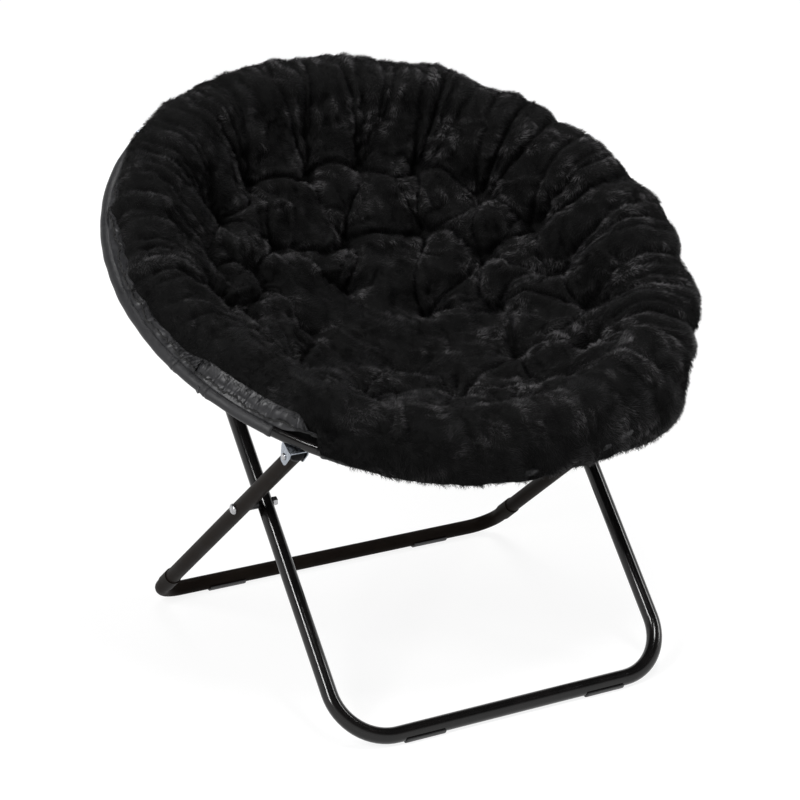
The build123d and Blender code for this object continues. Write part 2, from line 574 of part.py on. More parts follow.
# ---------------------------------------------------------------- all nodes
def build():
    nodes = {}
    nodes["front_leg_tube"] = front_leg_tube()
    nodes["rear_foot_tube"] = rear_foot_tube()
    back_start = HINGE_ANGLE + GAP_ANGLE
    front_start = across(HINGE_ANGLE - GAP_ANGLE)
    nodes["back_hoop_tube"] = hoop_half(back_start, across(back_start))
    nodes["front_hoop_tube"] = hoop_half(front_start, FULL_TURN + across(front_start))
    for name, side in (("left", -1), ("right", 1)):
        nodes[f"rear_leg_arm_{name}"] = rear_arm(side)
        nodes[f"front_leg_cap_{name}"] = leg_cap(FRONT_LEG, side * FRONT_LEG_HALF_WIDTH, FRONT_LEG_LENGTH)
        nodes[f"rear_leg_cap_{name}"] = leg_cap(REAR_LEG, side * REAR_LEG_HALF_WIDTH, REAR_LEG_LENGTH)
        nodes[f"pivot_stud_{name}"] = pivot_stud(side)
        nodes[f"pivot_spacer_{name}"] = pivot_spacer(side)
        nodes[f"pivot_nut_{name}"] = pivot_nut(side)
        nodes[f"pivot_bolt_head_{name}"] = pivot_head(side)
        nodes[f"rear_bracket_{name}"] = bracket(
            FRONT_LEG_HALF_WIDTH, REAR_PIN_LINE, REAR_PIN_LINE, REAR_PIN_DROP, side
        )
        nodes[f"front_bracket_{name}"] = bracket(
            REAR_LEG_HALF_WIDTH, FRONT_BRACKET_LINE, FRONT_PIN_LINE, FRONT_PIN_DROP, side
        )
        nodes[f"rear_bracket_rivet_{name}"] = bracket_rivet(FRONT_LEG_HALF_WIDTH, REAR_PIN, side)
        nodes[f"front_bracket_rivet_{name}"] = bracket_rivet(REAR_LEG_HALF_WIDTH, FRONT_PIN, side)
        nodes[f"back_hinge_end_{name}"] = hinge_end(side, 1)
        nodes[f"front_hinge_end_{name}"] = hinge_end(side, -1)
        nodes[f"hinge_rivet_{name}"] = hinge_rivet(side)
        nodes[f"front_glide_{name}"] = glide(FRONT_FOOT_Y, side * FRONT_GLIDE_X)
        nodes[f"rear_glide_{name}"] = glide(REAR_FOOT_Y, side * REAR_GLIDE_X)
    rear_cut = REAR_BRACKET_ANGLE
    front_cut = across(FRONT_BRACKET_ANGLE)
    back_start = HINGE_ANGLE + SLEEVE_GAP_ANGLE
    front_start = across(HINGE_ANGLE - SLEEVE_GAP_ANGLE)
    stretches = {
        "back_right": (back_start, rear_cut - SLEEVE_CUT),
        "back_middle": (rear_cut + SLEEVE_CUT, across(rear_cut + SLEEVE_CUT)),
        "back_left": (across(rear_cut - SLEEVE_CUT), across(back_start)),
        "front_left": (front_start, front_cut - SLEEVE_CUT),
        "front_middle": (front_cut + SLEEVE_CUT, FULL_TURN + across(front_cut + SLEEVE_CUT)),
        "front_right": (FULL_TURN + across(front_cut - SLEEVE_CUT), FULL_TURN + across(front_start)),
    }
    for name, stretch in stretches.items():
        nodes[f"hoop_sleeve_{name}"] = hoop_sleeve(*stretch)
    whole_cover = cover()
    whole_cushion = cushion()
    for name, half in (("back", 1), ("front", -1)):
        nodes[f"seat_cover_{name}"] = HOOP * split(whole_cover, half)
        nodes[f"plush_cushion_{name}"] = HOOP * split(whole_cushion, half)
    nodes["plush_front_flap"] = front_flap()
    return nodes


def main():
    os.makedirs("parts", exist_ok=True)
    for name, shape in build().items():
        shape.label = name
        export_step(shape, f"parts/{name}.step")


main()
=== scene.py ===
import math

import bmesh
import bpy
import numpy as np
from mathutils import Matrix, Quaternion, Vector


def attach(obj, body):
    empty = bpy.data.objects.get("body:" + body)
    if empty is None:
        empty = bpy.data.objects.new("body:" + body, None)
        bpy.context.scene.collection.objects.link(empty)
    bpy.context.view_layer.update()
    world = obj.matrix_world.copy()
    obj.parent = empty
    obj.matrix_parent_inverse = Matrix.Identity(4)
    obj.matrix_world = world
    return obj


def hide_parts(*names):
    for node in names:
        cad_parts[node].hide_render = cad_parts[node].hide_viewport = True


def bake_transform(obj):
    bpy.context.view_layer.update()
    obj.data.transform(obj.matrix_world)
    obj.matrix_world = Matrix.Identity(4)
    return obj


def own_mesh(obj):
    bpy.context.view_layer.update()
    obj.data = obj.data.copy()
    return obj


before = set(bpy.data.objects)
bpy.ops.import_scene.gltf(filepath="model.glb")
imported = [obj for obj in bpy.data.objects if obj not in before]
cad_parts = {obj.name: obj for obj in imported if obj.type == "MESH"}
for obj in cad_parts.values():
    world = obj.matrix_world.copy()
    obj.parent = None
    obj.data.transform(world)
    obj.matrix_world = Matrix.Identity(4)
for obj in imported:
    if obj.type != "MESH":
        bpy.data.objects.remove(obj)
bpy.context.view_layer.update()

# ------------------------------------------------------------------ studio
# The chair stands on a plain white floor that runs on past the picture. A long lens looks down at
# it from its front left. Soft boxes light it from both sides, from above and from high in front.
PICTURE = 800                        # pixels each way
PICTURE_AXIS = (404.66, 398.55)      # pixel where the lens points
LENS = 106.68
CAMERA_AT = (-1.7157, -3.1840, 1.7203)
CAMERA_AZIMUTH = -28.42
CAMERA_ELEVATION = 20.06
CAMERA_ROLL = 0.27
bpy.ops.object.select_all(action="DESELECT")

camera_data = bpy.data.cameras.new("camera")
camera_data.lens = LENS
camera_data.shift_x = (PICTURE / 2 - PICTURE_AXIS[0]) / PICTURE
camera_data.shift_y = (PICTURE_AXIS[1] - PICTURE / 2) / PICTURE
camera_data.clip_end = 60
camera = bpy.data.objects.new("camera", camera_data)
bpy.context.scene.collection.objects.link(camera)
turn_up = Quaternion((1, 0, 0), math.radians(90 - CAMERA_ELEVATION))
turn_round = Quaternion((0, 0, 1), math.radians(CAMERA_AZIMUTH))
turn_level = Quaternion((0, 0, 1), math.radians(CAMERA_ROLL))
camera.rotation_mode = "QUATERNION"
camera.rotation_quaternion = turn_round @ turn_up @ turn_level
camera.location = CAMERA_AT
bpy.context.scene.camera = camera
bpy.context.scene.view_settings.view_transform = "Standard"


def seen_directly(tree):
    """Masks for all rays that show a surface as it looks, for camera and glass rays, and for gloss."""
    rays = tree.nodes.new("ShaderNodeLightPath")
    first = tree.nodes.new("ShaderNodeMath")
    first.operation = "MAXIMUM"
    second = tree.nodes.new("ShaderNodeMath")
    second.operation = "MAXIMUM"
    tree.links.new(rays.outputs["Is Camera Ray"], first.inputs[0])
    tree.links.new(rays.outputs["Is Transmission Ray"], first.inputs[1])
    tree.links.new(first.outputs[0], second.inputs[0])
    tree.links.new(rays.outputs["Is Glossy Ray"], second.inputs[1])
    return second.outputs[0], first.outputs[0], rays.outputs["Is Glossy Ray"]


def light_world(ambient, ceiling):
    """Plain light, a white backdrop for the camera, and the same backdrop with a dim ceiling in gloss."""
    world = bpy.data.worlds.new("studio")
    bpy.context.scene.world = world
    world.use_nodes = True
    tree = world.node_tree
    backdrop = tree.nodes["Background"]
    backdrop.inputs["Color"].default_value = (1, 1, 1, 1)
    _, direct, mirrored = seen_directly(tree)
    aim = tree.nodes.new("ShaderNodeTexCoord")
    split = tree.nodes.new("ShaderNodeSeparateXYZ")
    fade = tree.nodes.new("ShaderNodeMapRange")
    for label, value in (("From Min", 0.30), ("From Max", 0.60), ("To Min", 1.0), ("To Max", ceiling)):
        fade.inputs[label].default_value = value
    gloss = tree.nodes.new("ShaderNodeMix")
    gloss.inputs[2].default_value = ambient
    shown = tree.nodes.new("ShaderNodeMix")
    shown.inputs[3].default_value = 1.0
    tree.links.new(aim.outputs["Generated"], split.inputs[0])
    tree.links.new(split.outputs[2], fade.inputs["Value"])
    tree.links.new(mirrored, gloss.inputs[0])
    tree.links.new(fade.outputs[0], gloss.inputs[3])
    tree.links.new(direct, shown.inputs[0])
    tree.links.new(gloss.outputs[0], shown.inputs[2])
    tree.links.new(shown.outputs[0], backdrop.inputs["Strength"])


def floor_paper(glow, paper):
    """White paper. What the camera sees of it is lifted to white, and shadows still show."""
    mat = bpy.data.materials.new("floor_paper")
    mat.use_nodes = True
    tree = mat.node_tree
    tree.nodes.clear()
    out = tree.nodes.new("ShaderNodeOutputMaterial")
    mix = tree.nodes.new("ShaderNodeMixShader")
    plain = tree.nodes.new("ShaderNodeBsdfDiffuse")
    plain.inputs["Color"].default_value = (0.8, 0.8, 0.8, 1)
    shaded = tree.nodes.new("ShaderNodeBsdfDiffuse")
    shaded.inputs["Color"].default_value = (paper, paper, paper, 1)
    lift = tree.nodes.new("ShaderNodeEmission")
    place = tree.nodes.new("ShaderNodeTexCoord")
    away = tree.nodes.new("ShaderNodeVectorMath")
    away.operation = "LENGTH"
    rise = tree.nodes.new("ShaderNodeMapRange")
    for label, value in (("From Min", 0.7), ("From Max", 2.2), ("To Min", glow), ("To Max", 1.0)):
        rise.inputs[label].default_value = value
    tree.links.new(place.outputs["Object"], away.inputs[0])
    tree.links.new(away.outputs["Value"], rise.inputs["Value"])
    tree.links.new(rise.outputs[0], lift.inputs["Strength"])
    both = tree.nodes.new("ShaderNodeAddShader")
    tree.links.new(shaded.outputs[0], both.inputs[0])
    tree.links.new(lift.outputs[0], both.inputs[1])
    tree.links.new(seen_directly(tree)[0], mix.inputs[0])
    tree.links.new(plain.outputs[0], mix.inputs[1])
    tree.links.new(both.outputs[0], mix.inputs[2])
    tree.links.new(mix.outputs[0], out.inputs["Surface"])
    return mat


def soft_box(name, place, target, width, height, watts):
    lamp = bpy.data.lights.new(name, "AREA")
    lamp.shape = "RECTANGLE"
    lamp.size = width
    lamp.size_y = height
    lamp.energy = watts
    holder = bpy.data.objects.new(name, lamp)
    bpy.context.scene.collection.objects.link(holder)
    holder.location = place
    holder.rotation_mode = "QUATERNION"
    holder.rotation_quaternion = (Vector(target) - Vector(place)).to_track_quat("-Z", "Y")


light_world(0.04, 0.02)
bpy.ops.mesh.primitive_plane_add(size=40, location=(0, 0, 0))
floor = bpy.context.object
floor.name = "floor"
floor.data.materials.append(floor_paper(0.87, 0.20))
SEAT_MIDDLE = (0, 0, 0.55)
soft_box("box_left", (-2.5, -1.5, 2.3), SEAT_MIDDLE, 0.35, 1.8, 84)
soft_box("box_right", (2.6, -1.2, 1.9), SEAT_MIDDLE, 0.4, 1.8, 30)
soft_box("box_above", (0.5, 0.8, 3.0), SEAT_MIDDLE, 1.5, 0.9, 36)
soft_box("box_front", (-0.15, -1.45, 3.2), SEAT_MIDDLE, 0.55, 0.6, 36)

# ------------------------------------------------------------------ tubes
# Both legs and the hoop are bent steel tube with a baked powder coat, gloss black on the inner leg
# and hoop and a duller brown black on the outer leg. It has a slight orange peel and fine dust in it.


def new_group(name, inputs, outputs):
    group = bpy.data.node_groups.new(name, "ShaderNodeTree")
    for label, kind, value in inputs:
        made = group.interface.new_socket(label, in_out="INPUT", socket_type=kind)
        made.default_value = value
    for label, kind in outputs:
        group.interface.new_socket(label, in_out="OUTPUT", socket_type=kind)
    return group, group.nodes.new("NodeGroupInput"), group.nodes.new("NodeGroupOutput")


def grain_group():
    """Fine and coarse noise over a surface: a mask for colour and gloss, and a height for bump."""
    inputs = [
        ("Vector", "NodeSocketVector", (0, 0, 0)),
        ("Fine Scale", "NodeSocketFloat", 900.0),
        ("Coarse Scale", "NodeSocketFloat", 30.0),
    ]
    outputs = [("Mask", "NodeSocketFloat"), ("Height", "NodeSocketFloat")]
    group, start, end = new_group("grain", inputs, outputs)
    fine = group.nodes.new("ShaderNodeTexNoise")
    fine.inputs["Detail"].default_value = 3
    coarse = group.nodes.new("ShaderNodeTexNoise")
    coarse.inputs["Detail"].default_value = 5
    spread = group.nodes.new("ShaderNodeMapRange")
    spread.inputs["From Min"].default_value = 0.35
    spread.inputs["From Max"].default_value = 0.65
    mix = group.nodes.new("ShaderNodeMix")
    mix.inputs[0].default_value = 0.35
    for noise, label in ((fine, "Fine Scale"), (coarse, "Coarse Scale")):
        group.links.new(start.outputs["Vector"], noise.inputs["Vector"])
        group.links.new(start.outputs[label], noise.inputs["Scale"])
    group.links.new(coarse.outputs[0], spread.inputs["Value"])
    group.links.new(spread.outputs[0], mix.inputs[2])
    group.links.new(fine.outputs[0], mix.inputs[3])
    group.links.new(mix.outputs[0], end.inputs["Mask"])
    group.links.new(fine.outputs[0], end.inputs["Height"])
    return group


GRAIN = grain_group()


def mixed_colour(tree, mask, dark, light):
    mix = tree.nodes.new("ShaderNodeMix")
    mix.data_type = "RGBA"
    tree.links.new(mask, mix.inputs[0])
    mix.inputs[6].default_value = (*dark, 1)
    mix.inputs[7].default_value = (*light, 1)
    return mix.outputs[2]


def between(tree, mask, low, high):
    reach = tree.nodes.new("ShaderNodeMapRange")
    reach.inputs["To Min"].default_value = low
    reach.inputs["To Max"].default_value = high
    tree.links.new(mask, reach.inputs["Value"])
    return reach.outputs[0]


def bumped(tree, height, depth):
    bump = tree.nodes.new("ShaderNodeBump")
    bump.inputs["Strength"].default_value = 1.0
    bump.inputs["Distance"].default_value = depth
    tree.links.new(height, bump.inputs["Height"])
    return bump.outputs[0]


def new_finish(name, **fixed):
    """A material with one Principled shader, its fixed sockets set, and its tree."""
    mat = bpy.data.materials.new(name)
    mat.use_nodes = True
    shader = mat.node_tree.nodes["Principled BSDF"]
    for label, value in fixed.items():
        shader.inputs[label.replace("_", " ")].default_value = value
    return mat, mat.node_tree, shader


def grained(name, dark, light, rough, depth, fine=900.0, coarse=30.0, **fixed):
    """Paint, plating or moulded plastic: grain in its colour, its gloss and its relief."""
    mat, tree, shader = new_finish(name, **fixed)
    place = tree.nodes.new("ShaderNodeTexCoord")
    grain = tree.nodes.new("ShaderNodeGroup")
    grain.node_tree = GRAIN
    grain.inputs["Fine Scale"].default_value = fine
    grain.inputs["Coarse Scale"].default_value = coarse
    tree.links.new(place.outputs["Object"], grain.inputs["Vector"])
    mask = grain.outputs["Mask"]
    tree.links.new(mixed_colour(tree, mask, dark, light), shader.inputs["Base Color"])
    tree.links.new(between(tree, mask, *rough), shader.inputs["Roughness"])
    tree.links.new(bumped(tree, grain.outputs["Height"], depth), shader.inputs["Normal"])
    return mat


def dress(names, mat):
    for name in names:
        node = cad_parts[name]
        for place in node.material_slots:
            place.material = mat


def both_sides(*names):
    return [f"{name}_{side}" for name in names for side in ("left", "right")]


gloss_coat = grained(
    "gloss_black_coat", (0.004, 0.004, 0.004), (0.008, 0.007, 0.007), (0.12, 0.19), 0.00001,
    Specular_IOR_Level=0.36,
)
outer_coat = grained(
    "brown_black_coat", (0.007, 0.005, 0.004), (0.012, 0.009, 0.007), (0.42, 0.56), 0.00002,
    Specular_IOR_Level=0.03,
)
dress(["front_leg_tube", "back_hoop_tube", "front_hoop_tube"], gloss_coat)
dress(["rear_foot_tube", *both_sides("rear_leg_arm")], outer_coat)

# ------------------------------------------------------------------ fittings
# Brackets are folded from zinc-plated sheet, rivets and bolts are nickel-plated steel, the hinge
# tongues are blackened steel, and caps, spacers and glides are moulded black plastic.
zinc = grained(
    "zinc_plate", (0.20, 0.22, 0.25), (0.46, 0.50, 0.56), (0.20, 0.40), 0.00003,
    fine=1500.0, coarse=160.0, Metallic=1.0,
)
nickel = grained(
    "nickel_plate", (0.30, 0.30, 0.31), (0.50, 0.50, 0.51), (0.20, 0.38), 0.00002, coarse=220.0, Metallic=1.0
)
blackened = grained(
    "blackened_steel", (0.02, 0.02, 0.022), (0.05, 0.05, 0.053), (0.35, 0.5), 0.00003, Metallic=0.6
)
moulded = grained(
    "moulded_plastic", (0.009, 0.009, 0.010), (0.016, 0.016, 0.017), (0.40, 0.58), 0.00004, fine=2200.0
)
dress(both_sides("rear_bracket", "front_bracket"), zinc)
dress(both_sides("rear_bracket_rivet", "front_bracket_rivet", "hinge_rivet"), nickel)
dress(both_sides("pivot_stud", "pivot_nut", "pivot_bolt_head"), nickel)
dress(both_sides("back_hinge_end", "front_hinge_end"), blackened)
dress(both_sides("front_leg_cap", "rear_leg_cap", "pivot_spacer", "front_glide", "rear_glide"), moulded)

# ------------------------------------------------------------------ woven cover
# Under the cushion a bowl of dark grey polyester cloth hangs in the hoop, sewn from eight gores. It is
# one piece on the real chair, and here it is split at the line where the hoop folds.
HOOP_TILT = math.radians(27.2)
HOOP_CENTRE = 0.637                  # height of the hoop's middle over the floor
HOOP_RADIUS = 0.4695                 # to the middle of its tube
FOLD_LINE = -0.180                   # up the hoop's plane from its middle to the hinges
CONE_DEPTH = 0.288                   # of the straight wall, if it ran on to a point
UNDER_LEAN = math.atan(CONE_DEPTH / HOOP_RADIUS)
UNDER_APEX = -CONE_DEPTH
UNDER_FLOOR_RADIUS = 0.230           # inside it the wall gives way to a round floor
UNDER_ROUND = UNDER_FLOOR_RADIUS / math.sin(UNDER_LEAN)
UNDER_CENTRE = UNDER_APEX + UNDER_FLOOR_RADIUS * math.tan(UNDER_LEAN) + UNDER_ROUND * math.cos(UNDER_LEAN)
UNDER_RIM = 0.4595                   # the bowl ends here, inside the sleeve
UNDER_SEAMS = 8
UNDER_THICK = 0.0011
SEAM_HEIGHT = 0.0011
SEAM_HALF_WIDTH = 0.004
COVER_SLACK = 0.0007                 # how far the cloth sags in between its seams
COVER_TUCK = 0.0016
HALVES = (("back", 1), ("front", -1))


def in_hoop(x, u, w):
    """Points in the model's frame from the hoop's own: x across, u up its plane, w square to it."""
    x, u, w = np.broadcast_arrays(x, u, w)
    y = u * math.cos(HOOP_TILT) - w * math.sin(HOOP_TILT)
    z = HOOP_CENTRE + u * math.sin(HOOP_TILT) + w * math.cos(HOOP_TILT)
    return np.stack([x, y, z], -1)


def round_hoop(r, turn, w):
    """The same from a radius and an angle round the hoop, which starts at its right side."""
    return in_hoop(r * np.cos(turn), r * np.sin(turn), w)


HOOP_MIDDLE = in_hoop(0.0, 0.0, 0.0)
UP_HOOP = in_hoop(0.0, 1.0, 0.0) - HOOP_MIDDLE
FOLD_POINT = in_hoop(0.0, FOLD_LINE, 0.0)
SQUASH_AXIS = tuple(in_hoop(0.0, 0.0, 1.0) - HOOP_MIDDLE)


def bowl_height(radius, offset):
    """Height over the hoop's plane of a surface this far above the woven cover."""
    inner = UNDER_ROUND - offset
    arc = UNDER_CENTRE - np.sqrt(np.maximum(inner**2 - radius**2, 0))
    wall = UNDER_APEX + radius * math.tan(UNDER_LEAN) + offset / math.cos(UNDER_LEAN)
    return np.where(radius < inner * math.sin(UNDER_LEAN), arc, wall)


def smooth(t):
    t = np.clip(t, 0, 1)
    return t * t * (3 - 2 * t)


def bell(t):
    return np.exp(-(t**2))


def waves(points, scale, seed, count=7):
    """Smooth noise about -1 to 1 from a few sine waves in seeded directions. scale is a length."""
    draw = np.random.default_rng(seed)
    total = np.zeros(len(points))
    for _ in range(count):
        way = draw.normal(size=3)
        way *= 2 * math.pi / (scale * draw.uniform(0.7, 1.5) * np.linalg.norm(way))
        total += np.sin(points @ way + draw.uniform(0, 2 * math.pi))
    return total / math.sqrt(count)


def folds(length_along, spacing, seed):
    """Sharp little gathers along a seam: a height from 0 to 1 at each station."""
    draw = np.random.default_rng(seed)
    height = np.zeros_like(length_along)
    at = length_along.min()
    while at < length_along.max():
        at += spacing * draw.uniform(0.5, 1.6)
        wide = spacing * draw.uniform(0.14, 0.30)
        height = np.maximum(height, draw.uniform(0.35, 1.0) * bell((length_along - at) / wide))
    return height


def woven(name, dark, light, rough):
    """Plain weave in the cloth's own plane from two crossed sets of threads, with a little wear."""
    mat, tree, shader = new_finish(name, Specular_IOR_Level=0.34, Sheen_Weight=0.04, Sheen_Roughness=0.5)
    place = tree.nodes.new("ShaderNodeTexCoord")
    grain = tree.nodes.new("ShaderNodeGroup")
    grain.node_tree = GRAIN
    grain.inputs["Fine Scale"].default_value = 700.0
    grain.inputs["Coarse Scale"].default_value = 45.0
    tree.links.new(place.outputs["Object"], grain.inputs["Vector"])
    threads = []
    for turn_z in (0.6, 2.17):
        turned = tree.nodes.new("ShaderNodeMapping")
        turned.inputs["Rotation"].default_value = (0.5, 0.4, turn_z)
        wave = tree.nodes.new("ShaderNodeTexWave")
        wave.inputs["Scale"].default_value = 260.0
        wave.inputs["Distortion"].default_value = 0.6
        tree.links.new(place.outputs["Object"], turned.inputs["Vector"])
        tree.links.new(turned.outputs[0], wave.inputs["Vector"])
        threads.append(wave.outputs[0])
    cross = tree.nodes.new("ShaderNodeMath")
    cross.operation = "MULTIPLY"
    tree.links.new(threads[0], cross.inputs[0])
    tree.links.new(threads[1], cross.inputs[1])
    blend = tree.nodes.new("ShaderNodeMix")
    blend.inputs[0].default_value = 0.5
    tree.links.new(cross.outputs[0], blend.inputs[2])
    tree.links.new(grain.outputs["Mask"], blend.inputs[3])
    tree.links.new(mixed_colour(tree, blend.outputs[0], dark, light), shader.inputs["Base Color"])
    tree.links.new(between(tree, grain.outputs["Mask"], *rough), shader.inputs["Roughness"])
    tree.links.new(bumped(tree, blend.outputs[0], 0.00012), shader.inputs["Normal"])
    return mat


def placed(name, mesh, mat):
    mesh.materials.append(mat)
    made = bpy.data.objects.new(name, mesh)
    bpy.context.scene.collection.objects.link(made)
    return made


def mesh_object(name, verts, faces, mat):
    mesh = bpy.data.meshes.new(name)
    mesh.from_pydata([tuple(v) for v in verts], [], faces)
    return placed(name, mesh, mat)


def finish_shell(shell, piece):
    """Turns a closed shell's faces outward, shades them smooth, and gives them to the piece."""
    bmesh.ops.recalc_face_normals(shell, faces=shell.faces[:])
    for face in shell.faces:
        face.smooth = True
    shell.to_mesh(piece.data)
    shell.free()


def closed_strip(name, outer, inner, mat):
    """A shell from two grids of points, outer and inner, joined along every edge."""
    rows, steps = outer.shape[:2]
    verts = np.concatenate([outer.reshape(-1, 3), inner.reshape(-1, 3)])
    top = np.arange(rows * steps).reshape(rows, steps)
    low = top + rows * steps
    quads = []
    for grid, flip in ((top, False), (low, True)):
        cells = np.stack([grid[:-1, :-1], grid[1:, :-1], grid[1:, 1:], grid[:-1, 1:]], -1).reshape(-1, 4)
        quads += (cells[:, ::-1] if flip else cells).tolist()
    edges = [(top[0], low[0], True), (top[-1], low[-1], False)]
    if not np.allclose(outer[:, 0], outer[:, -1]):
        edges += [(top[:, 0], low[:, 0], False), (top[:, -1], low[:, -1], True)]
    for a, b, flip in edges:
        cells = np.stack([a[:-1], a[1:], b[1:], b[:-1]], -1)
        quads += (cells[:, ::-1] if flip else cells).tolist()
    piece = mesh_object(name, verts, [tuple(q) for q in quads], mat)
    mend = bmesh.new()
    mend.from_mesh(piece.data)
    bmesh.ops.remove_doubles(mend, verts=mend.verts[:], dist=1e-6)
    finish_shell(mend, piece)
    return piece


def keep_half(made, half):
    """Cuts a closed piece at the hoop's fold line, keeps the back (1) or front (-1), and closes it."""
    cut = bmesh.new()
    cut.from_mesh(made.data)
    parts = cut.verts[:] + cut.edges[:] + cut.faces[:]
    found = bmesh.ops.bisect_plane(
        cut, geom=parts, plane_co=Vector(FOLD_POINT), plane_no=Vector(UP_HOOP) * half,
        clear_inner=True, clear_outer=False,
    )
    rim = [e for e in found["geom_cut"] if isinstance(e, bmesh.types.BMEdge)]
    bmesh.ops.triangle_fill(cut, edges=rim, use_beauty=True)
    finish_shell(cut, made)


def flattens(piece):
    """Gives a piece a mesh of its own."""
    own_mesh(piece)


def under_cover():
    """The woven bowl seen from below, with eight sewn seams and slight slack between them."""
    r = np.linspace(0.003, UNDER_RIM, 96)[:, None]
    turn = np.linspace(0, 2 * math.pi, 361)[None, :]
    w = bowl_height(r, 0.0) + 0 * turn
    points = np.stack([r * np.cos(turn), r * np.sin(turn), w], -1)
    near_seam = np.abs((turn * UNDER_SEAMS / (2 * math.pi) + 0.5) % 1 - 0.5) * 2 * math.pi / UNDER_SEAMS * r
    seam = bell(near_seam / SEAM_HALF_WIDTH) * smooth((r - 0.03) / 0.03) * smooth((UNDER_RIM - r) / 0.02)
    slack = waves(points.reshape(-1, 3), 0.10, 81).reshape(w.shape) * smooth((UNDER_RIM - r) / 0.05)
    tucks = folds(turn[0] * UNDER_RIM, 0.014, 83)[None, :] * smooth((r - 0.40) / 0.05)
    lift = SEAM_HEIGHT * seam - COVER_SLACK * np.abs(slack)
    lift = lift + COVER_TUCK * tucks * smooth((UNDER_RIM - r) / 0.012)
    lift[:, -1] = lift[:, 0]
    return round_hoop(r, turn, w - lift), round_hoop(r, turn, w - lift + UNDER_THICK)


grey_cloth = woven("grey_woven_cloth", (0.007, 0.007, 0.008), (0.020, 0.020, 0.022), (0.46, 0.64))
under_outer, under_inner = under_cover()
for half_name, half in HALVES:
    cover = closed_strip(f"under_cover_{half_name}", under_outer, under_inner, grey_cloth)
    keep_half(cover, half)
    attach(cover, f"{half_name}_hoop")
    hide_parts(f"seat_cover_{half_name}")
    flattens(cover)

# ------------------------------------------------------------------ hoop sleeve
# The cover's edge is turned round the hoop tube and sewn down. It is hemmed and left open at the four
# brackets, and it is loose and gathered over each hinge, so that the hoop can fold.
SLEEVE_R = 0.0093
SLEEVE_AROUND = 22                   # steps round the tube
SLEEVE_STEP = 0.0035                 # along it
SLEEVE_THICK = 0.0008
SLEEVE_TUCK = 0.0016
SLEEVE_SLACK = 0.0004
HEM_AT, HEM_HALF, HEM_HEIGHT = 0.0045, 0.0030, 0.0009
STITCH_AT, STITCH_HALF, STITCH_DEPTH = 0.0095, 0.0010, 0.0004
HINGE = 202.54                       # degrees round the hoop, the left hinge
HINGE_HALF = 3.91                    # the stiff sleeve stops this far from it
REAR_BRACKET = math.degrees(math.acos(0.290 / HOOP_RADIUS))
FRONT_BRACKET = 180 + math.degrees(math.acos(0.330 / HOOP_RADIUS))
BRACKET_HALF = 4.8                   # the sleeve stops this far from a bracket
BRIDGE_LAP = 0.25                    # degrees of loose cloth under the end of each stiff sleeve
BRIDGE_BEND = 3                      # degrees each side of the hinge over which the cloth bends
SLEEVES = {
    "back_right": (180 - HINGE + HINGE_HALF, REAR_BRACKET - BRACKET_HALF),
    "back_middle": (REAR_BRACKET + BRACKET_HALF, 180 - REAR_BRACKET - BRACKET_HALF),
    "back_left": (180 - REAR_BRACKET + BRACKET_HALF, HINGE - HINGE_HALF),
    "front_left": (HINGE + HINGE_HALF, FRONT_BRACKET - BRACKET_HALF),
    "front_middle": (FRONT_BRACKET + BRACKET_HALF, 540 - FRONT_BRACKET - BRACKET_HALF),
    "front_right": (540 - FRONT_BRACKET + BRACKET_HALF, 540 - HINGE - HINGE_HALF),
}


def around_tube(degrees, radius):
    """Points round the hoop tube: one row for each angle round the hoop."""
    round_it = np.linspace(0, 2 * math.pi, SLEEVE_AROUND + 1)
    turn = np.radians(degrees)[:, None]
    r = HOOP_RADIUS + radius * np.cos(round_it)[None, :]
    w = radius * np.sin(round_it)[None, :]
    return round_hoop(r, turn, w)


def sleeve_piece(name, start, end, seed):
    """Cloth round the tube from one angle to another, with hems, stitches, tucks and slack."""
    count = max(8, int(math.radians(end - start) * HOOP_RADIUS / SLEEVE_STEP))
    degrees = np.linspace(start, end, count)
    along = np.radians(degrees) * HOOP_RADIUS
    from_end = np.minimum(along - along[0], along[-1] - along)
    hem = bell((from_end - HEM_AT) / HEM_HALF) * HEM_HEIGHT
    stitched = -STITCH_DEPTH * bell((from_end - STITCH_AT) / STITCH_HALF)
    round_it = np.linspace(0, 2 * math.pi, SLEEVE_AROUND + 1)
    upper = 0.5 + 0.5 * np.cos(round_it - 2.2)
    tucks = folds(along, 0.011, seed)[:, None] * upper[None, :] ** 2
    mids = around_tube(degrees, np.full((count, 1), SLEEVE_R))
    slack = waves(mids.reshape(-1, 3), 0.045, seed + 1).reshape(count, -1)
    loose = SLEEVE_SLACK * slack * smooth(from_end / 0.01)[:, None]
    radius = SLEEVE_R + (hem + stitched)[:, None] + SLEEVE_TUCK * tucks + loose
    outer, inner = around_tube(degrees, radius), around_tube(degrees, radius - SLEEVE_THICK)
    return closed_strip(name, outer, inner, grey_cloth)


for seed, (label, (start, end)) in enumerate(SLEEVES.items()):
    sleeve = sleeve_piece(f"sleeve_{label}", start, end, 61 + 3 * seed)
    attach(sleeve, "back_hoop" if label.startswith("back") else "front_hoop")
    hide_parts(f"hoop_sleeve_{label}")

for label, middle in (("left", HINGE), ("right", 540 - HINGE)):
    first, last = middle - HINGE_HALF - BRIDGE_LAP, middle + HINGE_HALF + BRIDGE_LAP
    bridge = sleeve_piece(f"sleeve_over_hinge_{label}", first, last, 90)
    bends = np.radians([middle - BRIDGE_BEND, middle + BRIDGE_BEND])
    ends = [tuple(round_hoop(HOOP_RADIUS, turn, 0.0)) for turn in bends]
    if label == "right":
        ends.reverse()
    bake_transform(bridge)

